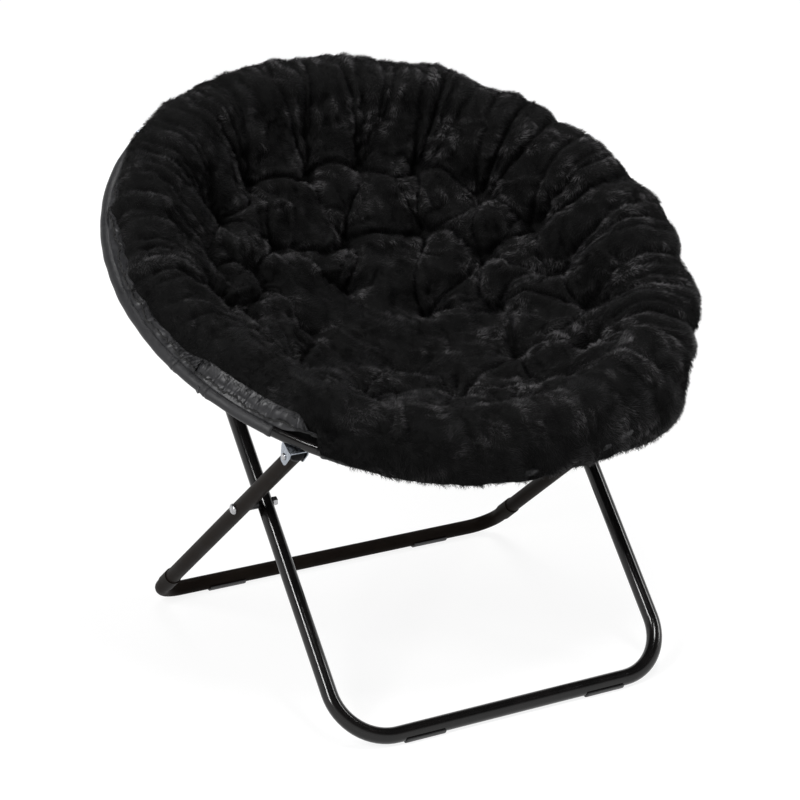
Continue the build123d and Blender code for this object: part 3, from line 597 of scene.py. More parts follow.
# ------------------------------------------------------------------ plush cushion
# One round of black long-pile plush, stuffed and stitched down in tufts, with a fat round rim that
# is gathered in pleats. This is its body. It is split at the line where the hoop folds.
CUSHION_THICK = 0.0387               # the pile stands on this
CUSHION_OUTER = 0.452
BOLSTER_R = 0.043                    # of the fat rim
BOLSTER_LIFT = 0.003                 # its middle over the hoop's plane
BOLSTER_FOOT = 0.318                 # radius where it meets the bowl
UNDERSIDE_INSET = 0.006
UNDERSIDE_GAP = 0.006                # between the stuffing and the woven cover
UNDERSIDE_FLOOR = -0.20
MESH_STEP = 0.0045
ROUND_STEPS = 640

# Stitched tufts, as radius in metres and degrees round the hoop from its right side.
OUTER_TUFTS = [
    (0.301, 356), (0.318, 15), (0.306, 35), (0.309, 57), (0.298, 75), (0.288, 94), (0.306, 117),
    (0.298, 137), (0.288, 157), (0.286, 176), (0.300, 196), (0.305, 217), (0.300, 240),
    (0.296, 262), (0.300, 284), (0.310, 301), (0.325, 321), (0.330, 338),
]
INNER_TUFTS = [
    (0.216, 125), (0.186, 84), (0.222, 47), (0.236, 20), (0.198, 353), (0.225, 318), (0.214, 278),
    (0.212, 236), (0.210, 205), (0.238, 174), (0.205, 150),
]
CENTRE_TUFTS = [(0.129, 175), (0.103, 14), (0.105, 96), (0.112, 270)]
ALL_TUFTS = OUTER_TUFTS + INNER_TUFTS + CENTRE_TUFTS
SHORTEST_SEAM = 0.062                # tufts nearer than this have no crease between them
FARTHEST_TUFT = 0.150                # a crease reaches no tuft of the next ring that is farther off
PUFF = 0.019                         # how far the stuffing stands up between the tufts
PUFF_REACH = 0.042
TUFT_DEPTH = 0.021
TUFT_WIDTH = 0.015
CREASE_DEPTH = 0.015
CREASE_WIDTH = 0.0085
STAR_DEPTH = 0.006                   # short creases round each tuft
STAR_WIDTH = 0.0075
LIP = 0.009                          # edge of the plain left wall over the bowl
DRAPE = 0.0065                       # loose folds of the plush between the tufts
DEEPEST = 0.0255                     # no fold goes deeper, so that the stuffing stays closed
LUMP = 0.0050                        # unevenness of the stuffing, broad and fine
FINE_LUMP = 0.0018
SWELL = 0.004                        # the rim is fuller at the left and behind
PLEATS_FROM = 0.300                  # radius where the gathers of the rim start
PLEAT_DEPTH = 0.0165
PLEAT_WIDTH = 0.0070
OVERHANG = 0.016                     # how far the rim leans out over the hoop
LEFT_SIDE = (158.0, 229.5)           # degrees round the hoop where bare cloth shows under the rim
VALLEY_FROM = 229.0                  # degrees, the fold between the left wall and the front roll
VALLEY_TO = 241.0
VALLEY_DEPTH = 0.017


def line_lengths(r, w):
    """How far along a line each of its points lies."""
    return np.concatenate([[0], np.cumsum(np.hypot(np.diff(r), np.diff(w)))])


def even_line(r, w, count, passes):
    """The same line in even steps with its corners eased, and how far along it each point lies."""
    along = line_lengths(r, w)
    steps = np.linspace(0, along[-1], count)
    r, w = np.interp(steps, along, r), np.interp(steps, along, w)
    for _ in range(passes):
        for line in (r, w):
            line[1:-1] = (line[:-2] + 2 * line[1:-1] + line[2:]) / 4
    return r, w, steps


def crown_profile():
    """The cushion's upper outline from its centre to the lower outer edge, in even steps."""
    foot_w = float(bowl_height(np.array(BOLSTER_FOOT), CUSHION_THICK))
    centre = CUSHION_OUTER - BOLSTER_R
    across, up = centre - BOLSTER_FOOT, BOLSTER_LIFT - foot_w
    apart = math.hypot(across, up)
    slope = math.atan2(up, across) + math.asin(BOLSTER_R / apart)
    turns = np.linspace(slope + math.pi / 2, -0.35, 60)
    inner = np.linspace(0, BOLSTER_FOOT, 160)
    r = np.concatenate([inner, centre + BOLSTER_R * np.cos(turns)])
    w = np.concatenate([bowl_height(inner, CUSHION_THICK), BOLSTER_LIFT + BOLSTER_R * np.sin(turns)])
    return even_line(r, w, int(line_lengths(r, w)[-1] / MESH_STEP), 3)


def spots(tufts):
    r = np.array([t[0] for t in tufts])
    turn = np.radians([t[1] for t in tufts])
    return np.stack([r * np.cos(turn), r * np.sin(turn)], -1)


def from_segments(points, pairs):
    """Least of the scaled distances from plan points to seams, each a little curved."""
    least = np.full(len(points), 9.0)
    fading = np.random.default_rng(17).uniform(0.3, 3.2, len(pairs))
    for number, (a, b) in enumerate(pairs):
        run = b - a
        length = np.hypot(*run)
        t = np.clip(((points - a) @ run) / length**2, 0, 1)
        side = np.array([-run[1], run[0]]) / length
        bow = 0.016 * math.sin(2.3 * number + 1) * np.sin(math.pi * t) + 0.005 * np.sin(2 * math.pi * t)
        near = a + t[:, None] * run + bow[:, None] * side
        apart = np.hypot(*(points - near).T)
        weak = 1 + fading[number] * np.sin(math.pi * t)
        least = np.minimum(least, apart * weak)
    return least


def star_creases():
    """Short creases that run out from each tuft into the pads round it."""
    draw = np.random.default_rng(8)
    pairs = []
    for place in spots(ALL_TUFTS):
        first = draw.uniform(0, 2 * math.pi)
        for k in range(4):
            way = first + math.pi / 2 * k + draw.uniform(-0.4, 0.4)
            reach = draw.uniform(0.030, 0.060)
            pairs.append((place, place + reach * np.array([math.cos(way), math.sin(way)])))
    return pairs


def overhang(degrees):
    """Share of OVERHANG by which the rim leans out: 0 at the left and under the flap, 1.6 at the right."""
    behind = smooth((LEFT_SIDE[0] - degrees) / 34)
    ahead = smooth((degrees - 294) / 16) * (1 + 0.25 * bell((degrees - 314) / 15))
    signed = (degrees + 180) % 360 - 180
    wider = 1 + 0.60 * bell(signed / 55)
    return np.where(degrees < 180, behind, ahead) * wider


def seams_between_tufts():
    """Pairs of neighbouring tufts that a crease joins."""
    outer, inner, middle = spots(OUTER_TUFTS), spots(INNER_TUFTS), spots(CENTRE_TUFTS)
    pairs = [(outer[i], outer[(i + 1) % len(outer)]) for i in range(len(outer))]
    for ring, next_ring in ((outer, inner), (inner, middle)):
        for place in ring:
            gaps = np.hypot(*(next_ring - place).T)
            pairs += [(place, next_ring[k]) for k in np.argsort(gaps)[:2] if gaps[k] < FARTHEST_TUFT]
    pairs += [(inner[i], inner[(i + 1) % len(inner)]) for i in range(len(inner))]
    return [(a, b) for a, b in pairs if np.hypot(*(a - b)) > SHORTEST_SEAM]


def pleat_valleys(r, turn, along, foot_along, end_along):
    """How deep each point lies in the gathers that fan out from the outer tufts to the rim."""
    draw = np.random.default_rng(11)
    depth = np.zeros(len(r))
    t = np.clip((along - foot_along) / (end_along - foot_along), 0, 1)
    for _, tuft_turn in sorted(OUTER_TUFTS, key=lambda tuft: tuft[1]):
        for spread in (-8.0, -4.2, -0.4, 3.6, 7.6):
            end_turn = tuft_turn + spread + draw.uniform(-1.1, 1.1)
            strength = draw.uniform(0.45, 1.0) * (1.0 if abs(spread) < 5 else 0.8)
            bow = draw.uniform(-2.4, 2.4)
            path = tuft_turn + (end_turn - tuft_turn) * t**0.5 + bow * np.sin(math.pi * t)
            apart = (np.degrees(turn) - path + 180) % 360 - 180
            off = np.radians(apart) * r
            width = PLEAT_WIDTH * (0.75 + 0.5 * t)
            fade = smooth((t + 0.02) / 0.10) * (1 - 0.6 * smooth((t - draw.uniform(0.6, 0.9)) / 0.3))
            depth = np.maximum(depth, strength * fade * bell(off / width))
    return depth


def puffed(r, w, nr, nw, turn, along, foot_along, end_along):
    """Moves the plain outline along its normal for the stuffing, tufts, creases and gathers."""
    plan = np.stack([r * np.cos(turn), r * np.sin(turn)], -1)
    points = np.stack([plan[:, 0], plan[:, 1], w], -1)
    nearest = np.full(len(r), 9.0)
    for place in spots(ALL_TUFTS):
        nearest = np.minimum(nearest, np.hypot(*(plan - place).T))
    in_bowl = 1 - smooth((r - 0.335) / 0.04)
    crease = bell(from_segments(plan, seams_between_tufts()) / CREASE_WIDTH)
    lift = PUFF * (1 - bell(nearest / PUFF_REACH)) * (0.4 + 0.6 * in_bowl)
    lift -= TUFT_DEPTH * bell(nearest / TUFT_WIDTH)
    lift -= CREASE_DEPTH * crease * in_bowl
    star = bell(from_segments(plan, star_creases()) / STAR_WIDTH)
    degrees = np.degrees(turn) % 360
    wall = smooth((degrees - 182) / 14) * smooth((240 - degrees) / 8) * smooth((r - 0.310) / 0.02)
    lift -= STAR_DEPTH * star * in_bowl * smooth(nearest / 0.02) * (1 - wall)
    lift += LIP * bell((r - 0.345) / 0.024) * wall
    drape = bell(waves(points, 0.115, 5) / 0.20) * smooth(0.35 + 0.6 * waves(points, 0.14, 6))
    lift += DRAPE * drape * (1 - wall) * smooth((0.42 - r) / 0.06) * smooth(nearest / 0.03)
    gather = pleat_valleys(r, turn, along, foot_along, end_along)
    shallow = 1 - 0.74 * smooth((nr - 0.15) / 0.6)
    plain = 1 - 0.72 * smooth((degrees - 186) / 14) * smooth((238 - degrees) / 6)
    lift -= PLEAT_DEPTH * gather * shallow * plain * smooth((along - foot_along + 0.03) / 0.03)
    climb = np.clip((along - foot_along) / (end_along - foot_along), 0, 1)
    valley = bell((degrees - VALLEY_FROM - (VALLEY_TO - VALLEY_FROM) * climb) / 3.6)
    lift -= VALLEY_DEPTH * valley * smooth(climb / 0.2)
    lift += LUMP * waves(points, 0.11, 3) * smooth(nearest / 0.05) * (1 - 0.6 * wall)
    lift += FINE_LUMP * waves(points, 0.035, 4) * smooth(nearest / 0.03) * (1 - 0.6 * wall)
    swell = bell(((degrees + 180) % 360 - 215) / 45)
    swell = swell + 0.7 * bell((degrees - 122) / 24)
    lift += SWELL * swell * smooth((r - 0.36) / 0.04)
    lift = np.maximum(lift, -DEEPEST)
    calm = 1 - 0.65 * smooth((0.016 - w) / 0.02) * (r > 0.40)
    lean_out = OVERHANG * overhang(degrees)
    lean_out = lean_out * smooth((w - 0.002) / 0.014) * smooth((nr + 0.1) / 0.7) * (r > 0.38)
    return r + lift * nr * calm + lean_out, w + lift * nw * calm, lift


def cushion_grid():
    """Upper surface of the cushion as an array of rows by steps round, in the hoop's frame."""
    r, w, along = crown_profile()
    dr, dw = np.gradient(r), np.gradient(w)
    size = np.hypot(dr, dw)
    nr, nw = -dw / size, dr / size
    turn = np.linspace(0, 2 * math.pi, ROUND_STEPS, endpoint=False)
    rising = int(len(r) * 0.7)
    foot_along = np.interp(PLEATS_FROM, r[:rising], along[:rising])
    shape = (len(r), ROUND_STEPS)
    flat = [np.repeat(v, ROUND_STEPS) for v in (r, w, nr, nw, along)]
    turns = np.tile(turn, len(r))
    moved = puffed(*flat[:4], turns, flat[4], foot_along, along[-1])
    new_r, new_w, lift = [v.reshape(shape) for v in moved]
    outside = np.where(np.arange(len(w)) > np.argmax(w), w, 1.0)
    return new_r, new_w, turn, sheen_ridges(lift), np.repeat(outside[:, None], ROUND_STEPS, axis=1)


def softened(grid, passes):
    for _ in range(passes):
        grid = (np.roll(grid, 1, axis=1) + 2 * grid + np.roll(grid, -1, axis=1)) / 4
        grid[1:-1] = (grid[:-2] + 2 * grid[1:-1] + grid[2:]) / 4
    return grid


def sheen_ridges(lift):
    """0 to 1: how far each point stands out from what lies round it, as the edge of a fold does. It places
    painted sheen on the pile.
    """
    broad = smooth((lift - softened(lift, 9) - 0.0007) / 0.0022)
    sharp = smooth((lift - softened(lift, 3)) / 0.0007)
    return broad * 0.6 + sharp * 0.4


def closed_bowl(r, w, turn):
    """Vertices and faces of a closed shell: the upper surface, and an underside just over the cover."""
    under_r = np.linspace(r[-1].mean() - UNDERSIDE_INSET, 0.004, 40)
    under_w = np.maximum(bowl_height(under_r, UNDERSIDE_GAP), UNDERSIDE_FLOOR)
    rows = [(r[i], w[i]) for i in range(1, len(r))]
    rows += [(np.full(len(turn), a), np.full(len(turn), b)) for a, b in zip(under_r, under_w)]
    points = [round_hoop(a, turn, b) for a, b in rows]
    top, bottom = in_hoop(0.0, 0.0, w[0].mean())[None], in_hoop(0.0, 0.0, under_w[-1])[None]
    verts = np.concatenate([top, *points, bottom])
    count, steps = len(rows), len(turn)
    index = 1 + np.arange(count * steps).reshape(count, steps)
    after = np.roll(index, -1, axis=1)
    quads = np.stack([index[:-1], index[1:], after[1:], after[:-1]], -1).reshape(-1, 4)
    caps = [(0, int(a), int(b)) for a, b in zip(index[0], after[0])]
    last = len(verts) - 1
    caps += [(last, int(b), int(a)) for a, b in zip(index[-1], after[-1])]
    return verts, [tuple(q) for q in quads.tolist()] + caps


backing = grained(
    "plush_backing", (0.002, 0.002, 0.002), (0.006, 0.006, 0.006), (0.85, 0.95), 0.0006,
    fine=500.0, coarse=40.0, Specular_IOR_Level=0.1,
)
# The crown's grid also carries the mask that places painted sheen on the pile.
crown_r, crown_w, crown_turn, crown_sheen_ridge, crown_outside = cushion_grid()
shell_verts, shell_faces = closed_bowl(crown_r, crown_w, crown_turn)
for half_name, half in HALVES:
    piece = mesh_object(f"plush_body_{half_name}", shell_verts, shell_faces, backing)
    keep_half(piece, half)
    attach(piece, f"{half_name}_hoop")
    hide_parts(f"plush_cushion_{half_name}")
    flattens(piece)

# ------------------------------------------------------------------ front flap
# The plush is carried on over the front of the hoop as a padded roll. It lies on the rim of the
# cushion, hangs a little below the tube and ends in two soft corners.
FLAP_FROM = 225.6                    # degrees round the hoop, its left end and its right
FLAP_TO = 316.0
FLAP_STEPS = 170
FLAP_ROWS = 44
ROLL_SIDE = 0.047                    # from the roll's middle to where it turns down
ROLL_MIDDLE = HOOP_RADIUS - 0.0155 - ROLL_SIDE
ROLL_R = 0.0545
ROLL_INNER_R = 0.0445
CORNER_DROP = 0.034                  # of the right corner
CORNER_OUT = 0.022
FLAP_LUMP = 0.0042


def flap_sections():
    """Outer and inner line of the flap's section, in the hoop's r and w, from inner edge to hem."""
    turns = np.radians(np.linspace(132, 62, 16))
    outer_r = list(ROLL_MIDDLE + ROLL_R * np.cos(turns))
    outer_w = list(0.004 + ROLL_R * np.sin(turns))
    outer_r += [ROLL_MIDDLE + ROLL_SIDE, *(HOOP_RADIUS + v for v in (-0.001, 0.010, 0.0135, 0.0130))]
    outer_w += [0.042, 0.0275, 0.014, 0.005, -0.0015]
    turns = np.radians(np.linspace(132, 28, 16))
    inner_r = list(ROLL_MIDDLE + ROLL_INNER_R * np.cos(turns))
    inner_w = list(0.003 + ROLL_INNER_R * np.sin(turns))
    inner_r += [HOOP_RADIUS + v for v in (-0.004, 0.006, 0.0108, 0.0108)]
    inner_w += [0.0135, 0.0115, 0.005, -0.0010]
    lines = ((outer_r, outer_w), (inner_r, inner_w))
    return [even_line(np.array(r), np.array(w), FLAP_ROWS, 4)[:2] for r, w in lines]


def flap_grid():
    """The flap grows out of the rim at its left end, and hangs out and down in a corner at its right."""
    share = np.linspace(0, 1, FLAP_STEPS)
    degrees = FLAP_FROM + (FLAP_TO - FLAP_FROM) * share
    turn = np.radians(degrees)
    reach = 0.55 + 0.40 * smooth((degrees - FLAP_FROM - 0.4) / 4.5) + 0.05 * smooth((degrees - 236) / 7)
    full = 0.10 + 0.90 * smooth((degrees - 228) / 15) * (1 - 0.5 * smooth((share - 0.95) / 0.05))
    fall = np.linspace(0, 1, FLAP_ROWS)[:, None] * reach
    lines = [np.interp(fall, np.linspace(0, 1, FLAP_ROWS), line) for pair in flap_sections() for line in pair]
    outer_r, outer_w, inner_r, inner_w = lines
    dip = VALLEY_DEPTH * bell((degrees - VALLEY_TO) / 4.5) * (1 - smooth((fall - 0.45) / 0.25))
    points = np.stack([np.cos(turn) * HOOP_RADIUS, np.sin(turn) * HOOP_RADIUS, 0 * turn], -1)
    hem_wave = 0.0030 * waves(points, 0.10, 21) + 0.0018 * waves(points, 0.03, 22)
    corner = smooth((degrees - 270) / 38) * (1 - 0.5 * smooth((degrees - 308) / 8))
    drop = (hem_wave - CORNER_DROP * corner) * smooth((fall - 0.5) / 0.5) - 0.8 * dip
    out = CORNER_OUT * smooth((degrees - 288) / 18) * (1 - 0.5 * smooth((degrees - 306) / 10))
    out = out * smooth((fall - 0.3) / 0.6)
    inner_r, inner_w = inner_r + out, inner_w + drop
    r = inner_r + (outer_r + out - inner_r) * full
    w = inner_w + (outer_w + drop - inner_w) * full
    lumps = waves(np.stack([(r * np.cos(turn)).ravel(), (r * np.sin(turn)).ravel(), w.ravel()], -1), 0.08, 23)
    bulge = FLAP_LUMP * lumps.reshape(r.shape) * full * np.sin(math.pi * np.clip(fall, 0, 1)) ** 0.5
    r, w = r + bulge * 0.6, w + bulge * 0.8
    return np.concatenate([r, inner_r[::-1]]), np.concatenate([w, inner_w[::-1]]), turn


def rolled(r, w, turn):
    """A closed roll: the section's rows go all the way round it, and both ends are capped."""
    rows, steps = r.shape
    verts = round_hoop(r, turn, w).reshape(-1, 3)
    index = np.arange(rows * steps).reshape(rows, steps)
    below = np.roll(index, -1, axis=0)
    quads = np.stack([index[:, :-1], index[:, 1:], below[:, 1:], below[:, :-1]], -1).reshape(-1, 4).tolist()
    ends = [index[::-1, 0].tolist(), index[:, -1].tolist()]
    return verts, [tuple(q) for q in quads + ends]


flap_r, flap_w, flap_turn = flap_grid()
flap_verts, flap_faces = rolled(flap_r, flap_w, flap_turn)
flap = mesh_object("plush_flap_body", flap_verts, flap_faces, backing)
roll = bmesh.new()
roll.from_mesh(flap.data)
finish_shell(roll, flap)
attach(flap, "front_hoop")
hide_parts("plush_front_flap")
flattens(flap)

# ------------------------------------------------------------------ puckered band
# On the left side the pile starts higher up, and a strip of the grey cloth shows between it and the
# sleeve. It is gathered in slanted puckers by the seam that joins the plush to the cover.
BAND_TOP = (0.0172, 0.0272)          # hoop plane up to the pile on the left side, back and front
BAND_WIDENS = (197.0, 205.0)         # degrees round the hoop between those two heights
BAND_ROWS = 26
BAND_STEP = 0.0020                   # along the hoop
BAND_FOOT = 0.0088                   # height of its lower edge, on the sleeve
PUCKER = 0.0060
PUCKER_EVERY = 0.0130
PUCKER_SLANT = 0.027
SEAM_AT = 0.0132                     # height of the sleeve's seam over the hoop's plane
THREAD_R = (0.0015, 0.0004)          # of the seam's thread, outside and inside of its shell
BANDS = (
    # half, from and to in degrees, seed, fullness of the gathers, width of the flat strip
    ("back", LEFT_SIDE[0] - 9, HINGE - 0.05, 71, 1.1, 0.0175),
    ("front", HINGE + 0.05, 230.0, 73, 1.25, 0.024),
)


def band_top(degrees):
    """Height over the hoop's plane where the pile starts on the left side, 0 elsewhere."""
    back, front = BAND_TOP
    height = back + (front - back) * smooth((degrees - BAND_WIDENS[0]) / (BAND_WIDENS[1] - BAND_WIDENS[0]))
    return height * smooth((degrees - LEFT_SIDE[0] + 12) / 16) * smooth((LEFT_SIDE[1] - degrees) / 6)


def band_grid(start, end, seed):
    """Cloth from the top of the sleeve up under the pile on the left side, gathered by the seam."""
    count = int(math.radians(end - start) * HOOP_RADIUS / BAND_STEP)
    degrees = np.linspace(start, end, count)
    turn = np.radians(degrees)
    plain = crown_outside[:, 0]
    rows = np.flatnonzero(plain < 1)
    column = degrees / 360 * ROUND_STEPS
    low = np.floor(column).astype(int)
    part = column - low
    high = (low + 1) % ROUND_STEPS
    edge = [g[rows][:, low] * (1 - part) + g[rows][:, high] * part for g in (crown_r, crown_w)]
    t = np.linspace(0, 1, BAND_ROWS)[:, None]
    lifted = smooth((degrees - (FRONT_BRACKET - BRACKET_HALF) - 1) / 5)
    top = np.maximum(band_top(degrees), 0.013) + 0.0025
    foot = BAND_FOOT + 0.004 * lifted
    height = top + (foot - top) * t
    r, w = np.empty_like(height), np.empty_like(height)
    for k in range(count):
        r[:, k], w[:, k] = [np.interp(-height[:, k], -plain[rows], grid[:, k]) for grid in edge]
    down = smooth((SEAM_AT + 0.003 - height) / (SEAM_AT + 0.003 - BAND_FOOT))
    foot_r = HOOP_RADIUS - 0.0035 - 0.006 * lifted
    r = r + 0.0012 + np.maximum(foot_r - r, 0) * down
    w = w + (height - w) * down
    over_seam = (height - SEAM_AT) / (BAND_TOP[1] - SEAM_AT)
    skew = turn * HOOP_RADIUS - PUCKER_SLANT * over_seam
    gather = np.stack([folds(row, PUCKER_EVERY, seed) + 0.35 * folds(row, 0.0060, seed + 5) for row in skew])
    points = np.stack([r * np.cos(turn), r * np.sin(turn), w], -1)
    soft = waves(points.reshape(-1, 3), 0.02, seed + 1).reshape(r.shape)
    close = bell((height - SEAM_AT - 0.0045) / 0.0065)
    wide = 0.35 + 0.65 * smooth((degrees - BAND_WIDENS[0] + 2) / 6)
    rise = (PUCKER * gather * wide + 0.0009 * soft) * close * smooth(t * 8) * smooth((1 - t) * 4)
    return r + rise * 0.75, w + rise * 0.66, height, turn


# The same grey cloth as the sleeve, painted lighter than it: painted sheen for the light its puckers catch.
band_cloth_lit = woven("puckered_band_cloth", (0.007, 0.007, 0.008), (0.030, 0.030, 0.033), (0.34, 0.50))
# Thread of the seam, thick and near black: it is the real thread and also the seam's painted shadow line.
seam_thread_and_shadow = grained(
    "seam_thread_and_shadow", (0.001, 0.001, 0.001), (0.003, 0.003, 0.003), (0.7, 0.9), 0.0001, fine=1800.0
)
for half_name, start, end, seed, fullness, width in BANDS:
    band_r, band_w, band_height, band_turn = band_grid(start, end, seed)
    outer = round_hoop(band_r, band_turn, band_w)
    inner = round_hoop(band_r - 0.0007, band_turn, band_w - 0.0004)
    band = closed_strip(f"puckered_band_{half_name}", outer, inner, band_cloth_lit)
    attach(band, f"{half_name}_hoop")
    flattens(band)
    wander = SEAM_AT + 0.0009 * waves(outer[-1], 0.030, seed + 2) + 0.0005 * waves(outer[-1], 0.008, seed + 3)
    along_seam = range(len(band_turn))
    path_r = np.array([np.interp(-wander[k], -band_height[:, k], band_r[:, k]) for k in along_seam]) + 0.0011
    path_w = np.array([np.interp(-wander[k], -band_height[:, k], band_w[:, k]) for k in along_seam]) + 0.0007
    ring = np.linspace(0, 2 * math.pi, 7)[None, :]
    rings = []
    for thick in THREAD_R:
        ring_r = path_r[:, None] + thick * np.cos(ring)
        ring_w = path_w[:, None] + thick * np.sin(ring)
        rings.append(round_hoop(ring_r, band_turn[:, None], ring_w))
    seam = closed_strip(f"band_seam_{half_name}", *rings, seam_thread_and_shadow)
    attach(seam, f"{half_name}_hoop")
    flattens(seam)

# ------------------------------------------------------------------ pile
# Dense soft pile, about 8 to 11 mm long, stands on all of the plush. It lies mostly one way, and is
# brushed the other way in patches, which is what makes the sheen of plush come and go.
# Its colour also carries painted sheen: lighter hairs along fold edges and in patches, most on the right.
PILE_LENGTH = 0.0098
PILE_WIDTH = 0.00074
PILE_ROOT = 0.0012                   # how deep a hair starts in the plush
PILE_LEAN = 52                       # degrees from upright
PILE_NAP = (0.25, -0.45, -0.85)      # the way that most of it is brushed
PILE_PER_M2 = 340000
PILE_PIECE = 64000                   # hairs in one piece


def pile_finish():
    """Hair by its own map: u is how much painted sheen lightens the hair's colour, and sets its roughness; v
    runs from its root, near black, to its tip.
    """
    mat, tree, shader = new_finish(
        "black_pile", Specular_IOR_Level=0.10,
        Sheen_Weight=0.02, Sheen_Roughness=0.4, Sheen_Tint=(0.7, 0.7, 0.75, 1),
    )
    chart = tree.nodes.new("ShaderNodeUVMap")
    chart.uv_map = "OFBake"
    split = tree.nodes.new("ShaderNodeSeparateXYZ")
    tree.links.new(chart.outputs[0], split.inputs[0])
    # The hair's colour runs by u from near black to light grey; the lighter end is painted sheen.
    tint = mixed_colour(tree, split.outputs[0], (0.0006, 0.0006, 0.0007), (0.330, 0.320, 0.330))
    shade = tree.nodes.new("ShaderNodeMix")
    shade.data_type = "RGBA"
    rise = between(tree, split.outputs[1], 0.0, 1.0)
    tree.links.new(rise, shade.inputs[0])
    shade.inputs[6].default_value = (0.0005, 0.0005, 0.0005, 1)
    tree.links.new(tint, shade.inputs[7])
    tree.links.new(shade.outputs[2], shader.inputs["Base Color"])
    tree.links.new(between(tree, split.outputs[0], 0.34, 0.50), shader.inputs["Roughness"])
    return mat


def corner_normals(points):
    down = np.gradient(points, axis=0)
    across = np.gradient(points, axis=1)
    normal = np.cross(down, across)
    return normal / np.maximum(np.linalg.norm(normal, axis=-1, keepdims=True), 1e-12)


def cell_samples(points, per_m2, seed, *values):
    """Seeded places, normals and grid values spread evenly over a grid of points, rows by steps."""

    def corners(grid):
        return grid[:-1, :-1], grid[1:, :-1], grid[1:, 1:], grid[:-1, 1:]

    a, b, c, d = corners(points)
    cross = np.cross(c - a, d - b)
    area = np.linalg.norm(cross, axis=-1) / 2
    draw = np.random.default_rng(seed)
    count = int(area.sum() * per_m2)
    total = np.cumsum(area.ravel())
    cell = np.searchsorted(total, draw.uniform(0, total[-1], count))
    cell = np.minimum(cell, area.size - 1)
    s, t = draw.uniform(size=(2, count, 1))

    def spread(grid):
        flat = [v.reshape(area.size, -1)[cell] for v in corners(grid)]
        return (flat[0] * (1 - s) + flat[1] * s) * (1 - t) + (flat[3] * (1 - s) + flat[2] * s) * t

    normal = spread(corner_normals(points))
    normal /= np.linalg.norm(normal, axis=1, keepdims=True)
    return (spread(points), normal, *[spread(grid)[:, 0] for grid in values])


def hairs(place, normal, sheen_ridge, seed):
    """Root, tip and direction of each hair, and how much painted sheen lightens its colour."""
    draw = np.random.default_rng(seed)
    count = len(place)
    nap = np.array(PILE_NAP)
    flat = nap - (normal @ nap)[:, None] * normal
    flat /= np.maximum(np.linalg.norm(flat, axis=1, keepdims=True), 1e-9)
    side = np.cross(normal, flat)
    swirl = 1.05 * waves(place, 0.085, 31) + 0.40 * waves(place, 0.026, 32) + draw.normal(0, 0.12, count)
    way = np.cos(swirl)[:, None] * flat + np.sin(swirl)[:, None] * side
    lean = PILE_LEAN + 11 * waves(place, 0.050, 33) + 4 * waves(place, 0.012, 34)
    lean = np.radians(lean + draw.normal(0, 4, count))
    along = np.cos(lean)[:, None] * normal + np.sin(lean)[:, None] * way
    clump = np.stack([waves(place, 0.0060, 35 + k) for k in range(3)], -1)
    along += 0.10 * clump
    along /= np.linalg.norm(along, axis=1, keepdims=True)
    reach = PILE_LENGTH * draw.uniform(0.80, 1.12, count) * (1 + 0.08 * waves(place, 0.02, 38))
    root = place - PILE_ROOT * normal
    # Painted sheen: hairs in patches and along the edges of folds are coloured lighter, where plush pile
    # would catch the light.
    sheen_patches = smooth(0.38 + 0.60 * waves(place, 0.075, 39)) * smooth(0.50 + 0.6 * waves(place, 0.022, 40))
    painted_sheen = np.clip(0.22 * sheen_patches + sheen_ridge * (0.14 + 1.10 * sheen_patches), 0, 1)
    # Painted light from one side: the sheen is made stronger toward the chair's right, whose inner wall faces
    # the lamps on the left.
    painted_sheen *= 0.55 + 0.75 * smooth((place[:, 0] + 0.30) / 0.45)
    sheen_paint = 0.004 + painted_sheen * (0.16 + 0.84 * draw.uniform(0, 1, count) ** 2)
    sheen_paint = sheen_paint + 0.02 * draw.uniform(0, 1, count) ** 4
    return root, root + along * reach[:, None], along, np.clip(sheen_paint, 0.015, 0.98)


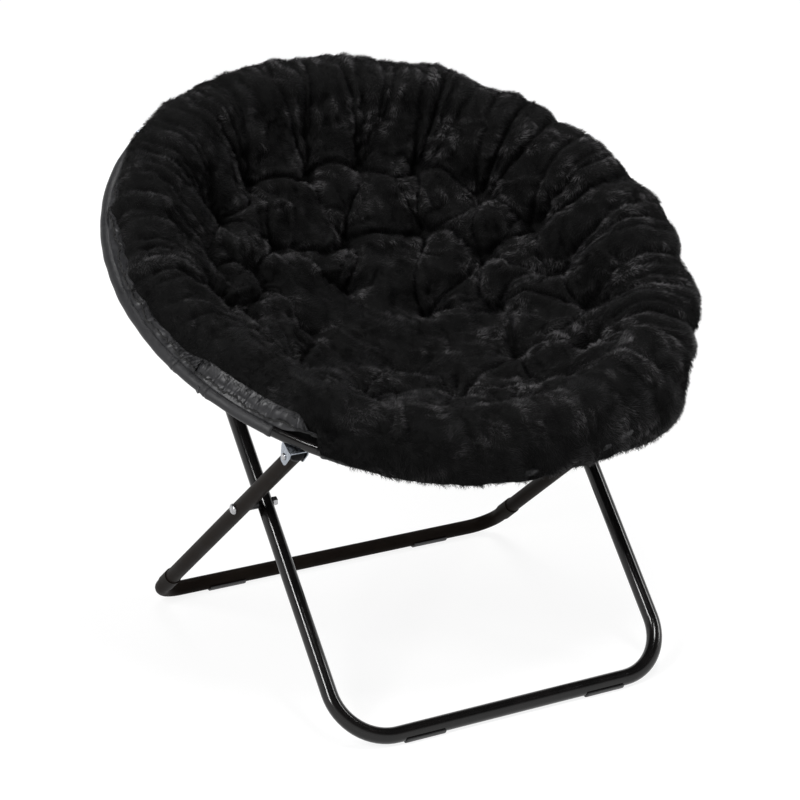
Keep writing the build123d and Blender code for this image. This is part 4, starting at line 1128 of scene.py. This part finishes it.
def pile_mesh(name, root, tip, along, sheen_paint, seed, mat):
    """Three-sided tapering hairs, with the map that their colour and gloss read."""
    draw = np.random.default_rng(seed)
    count = len(root)
    spare = draw.normal(size=(count, 3))
    first = np.cross(along, spare)
    first /= np.linalg.norm(first, axis=1, keepdims=True)
    second = np.cross(along, first)
    half = PILE_WIDTH / 2 * draw.uniform(0.75, 1.25, (count, 1))
    thirds = (0, 2.0944, 4.1888)
    ring = [root + half * (math.cos(a) * first + math.sin(a) * second) for a in thirds]
    verts = np.stack([*ring, tip], 1).reshape(-1, 3)
    base = 4 * np.arange(count)[:, None]
    corners = (base + np.array([[0, 1, 3, 1, 2, 3, 2, 0, 3]])).ravel()
    mesh = bpy.data.meshes.new(name)
    mesh.vertices.add(len(verts))
    mesh.vertices.foreach_set("co", verts.astype(np.float32).ravel())
    mesh.loops.add(len(corners))
    mesh.loops.foreach_set("vertex_index", corners.astype(np.int32))
    mesh.polygons.add(3 * count)
    mesh.polygons.foreach_set("loop_start", np.arange(0, 9 * count, 3, dtype=np.int32))
    mesh.polygons.foreach_set("use_smooth", np.ones(3 * count, bool))
    mesh.update(calc_edges=True)
    chart = mesh.uv_layers.new(name="OFBake")
    u = sheen_paint[:, None] + np.array([[-0.01, 0.01, 0.0, -0.01, 0.01, 0.0, -0.01, 0.01, 0.0]])
    v = np.broadcast_to(np.array([[0.02, 0.02, 0.98] * 3]), u.shape)
    chart.data.foreach_set("uv", np.stack([u, v], -1).astype(np.float32).ravel())
    return placed(name, mesh, mat)


def plant(prefix, place, normal, sheen_ridge, body, seed, mat):
    """Pile over these places, in pieces small enough to handle, all on one body."""
    root, tip, along, sheen_paint = hairs(place, normal, sheen_ridge, seed)
    pieces = max(1, math.ceil(len(root) / PILE_PIECE))
    order = np.argsort(place[:, 0], kind="stable")
    for number, part in enumerate(np.array_split(order, pieces)):
        parts = [v[part] for v in (root, tip, along, sheen_paint)]
        piece = pile_mesh(f"{prefix}_{number + 1}", *parts, seed + 50 + number, mat)
        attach(piece, body)
        flattens(piece)


def furred(points, outside):
    """True where pile shows: not under the rim, and above the bare cloth of the left side."""
    u = (points - HOOP_MIDDLE) @ UP_HOOP
    degrees = np.degrees(np.arctan2(u, points[:, 0])) % 360
    return outside > band_top(degrees) + 0.0022 * waves(points, 0.018, 51) - 0.003


pile = pile_finish()
closed_turn = np.append(crown_turn, 2 * math.pi)
# The fold-edge mask goes along with the grid: it places painted sheen on the pile.
wrap_r, wrap_w, wrap_sheen_ridge, wrap_outside = [
    np.concatenate([grid, grid[:, :1]], axis=1) for grid in (crown_r, crown_w, crown_sheen_ridge, crown_outside)
]
crown_points = round_hoop(wrap_r, closed_turn, wrap_w)
samples = cell_samples(crown_points, PILE_PER_M2, 41, wrap_sheen_ridge, wrap_outside)
shown = furred(samples[0], samples[3])
place, normal, sheen_ridge = [v[shown] for v in samples[:3]]
behind = (place - FOLD_POINT) @ UP_HOOP > 0
plant("plush_pile_back", place[behind], normal[behind], sheen_ridge[behind], "back_hoop", 42, pile)
plant("plush_pile_front", place[~behind], normal[~behind], sheen_ridge[~behind], "front_hoop", 43, pile)
flap_points = round_hoop(flap_r, flap_turn, flap_w)[: FLAP_ROWS + 4]
place, normal = cell_samples(flap_points, PILE_PER_M2, 44)
# Painted sheen on the flap's pile: lighter hairs in broad patches, in place of fold edges.
flap_sheen = smooth(0.25 + 0.7 * waves(place, 0.055, 46))
plant("plush_pile_flap", place, normal, flap_sheen, "front_hoop", 45, pile)
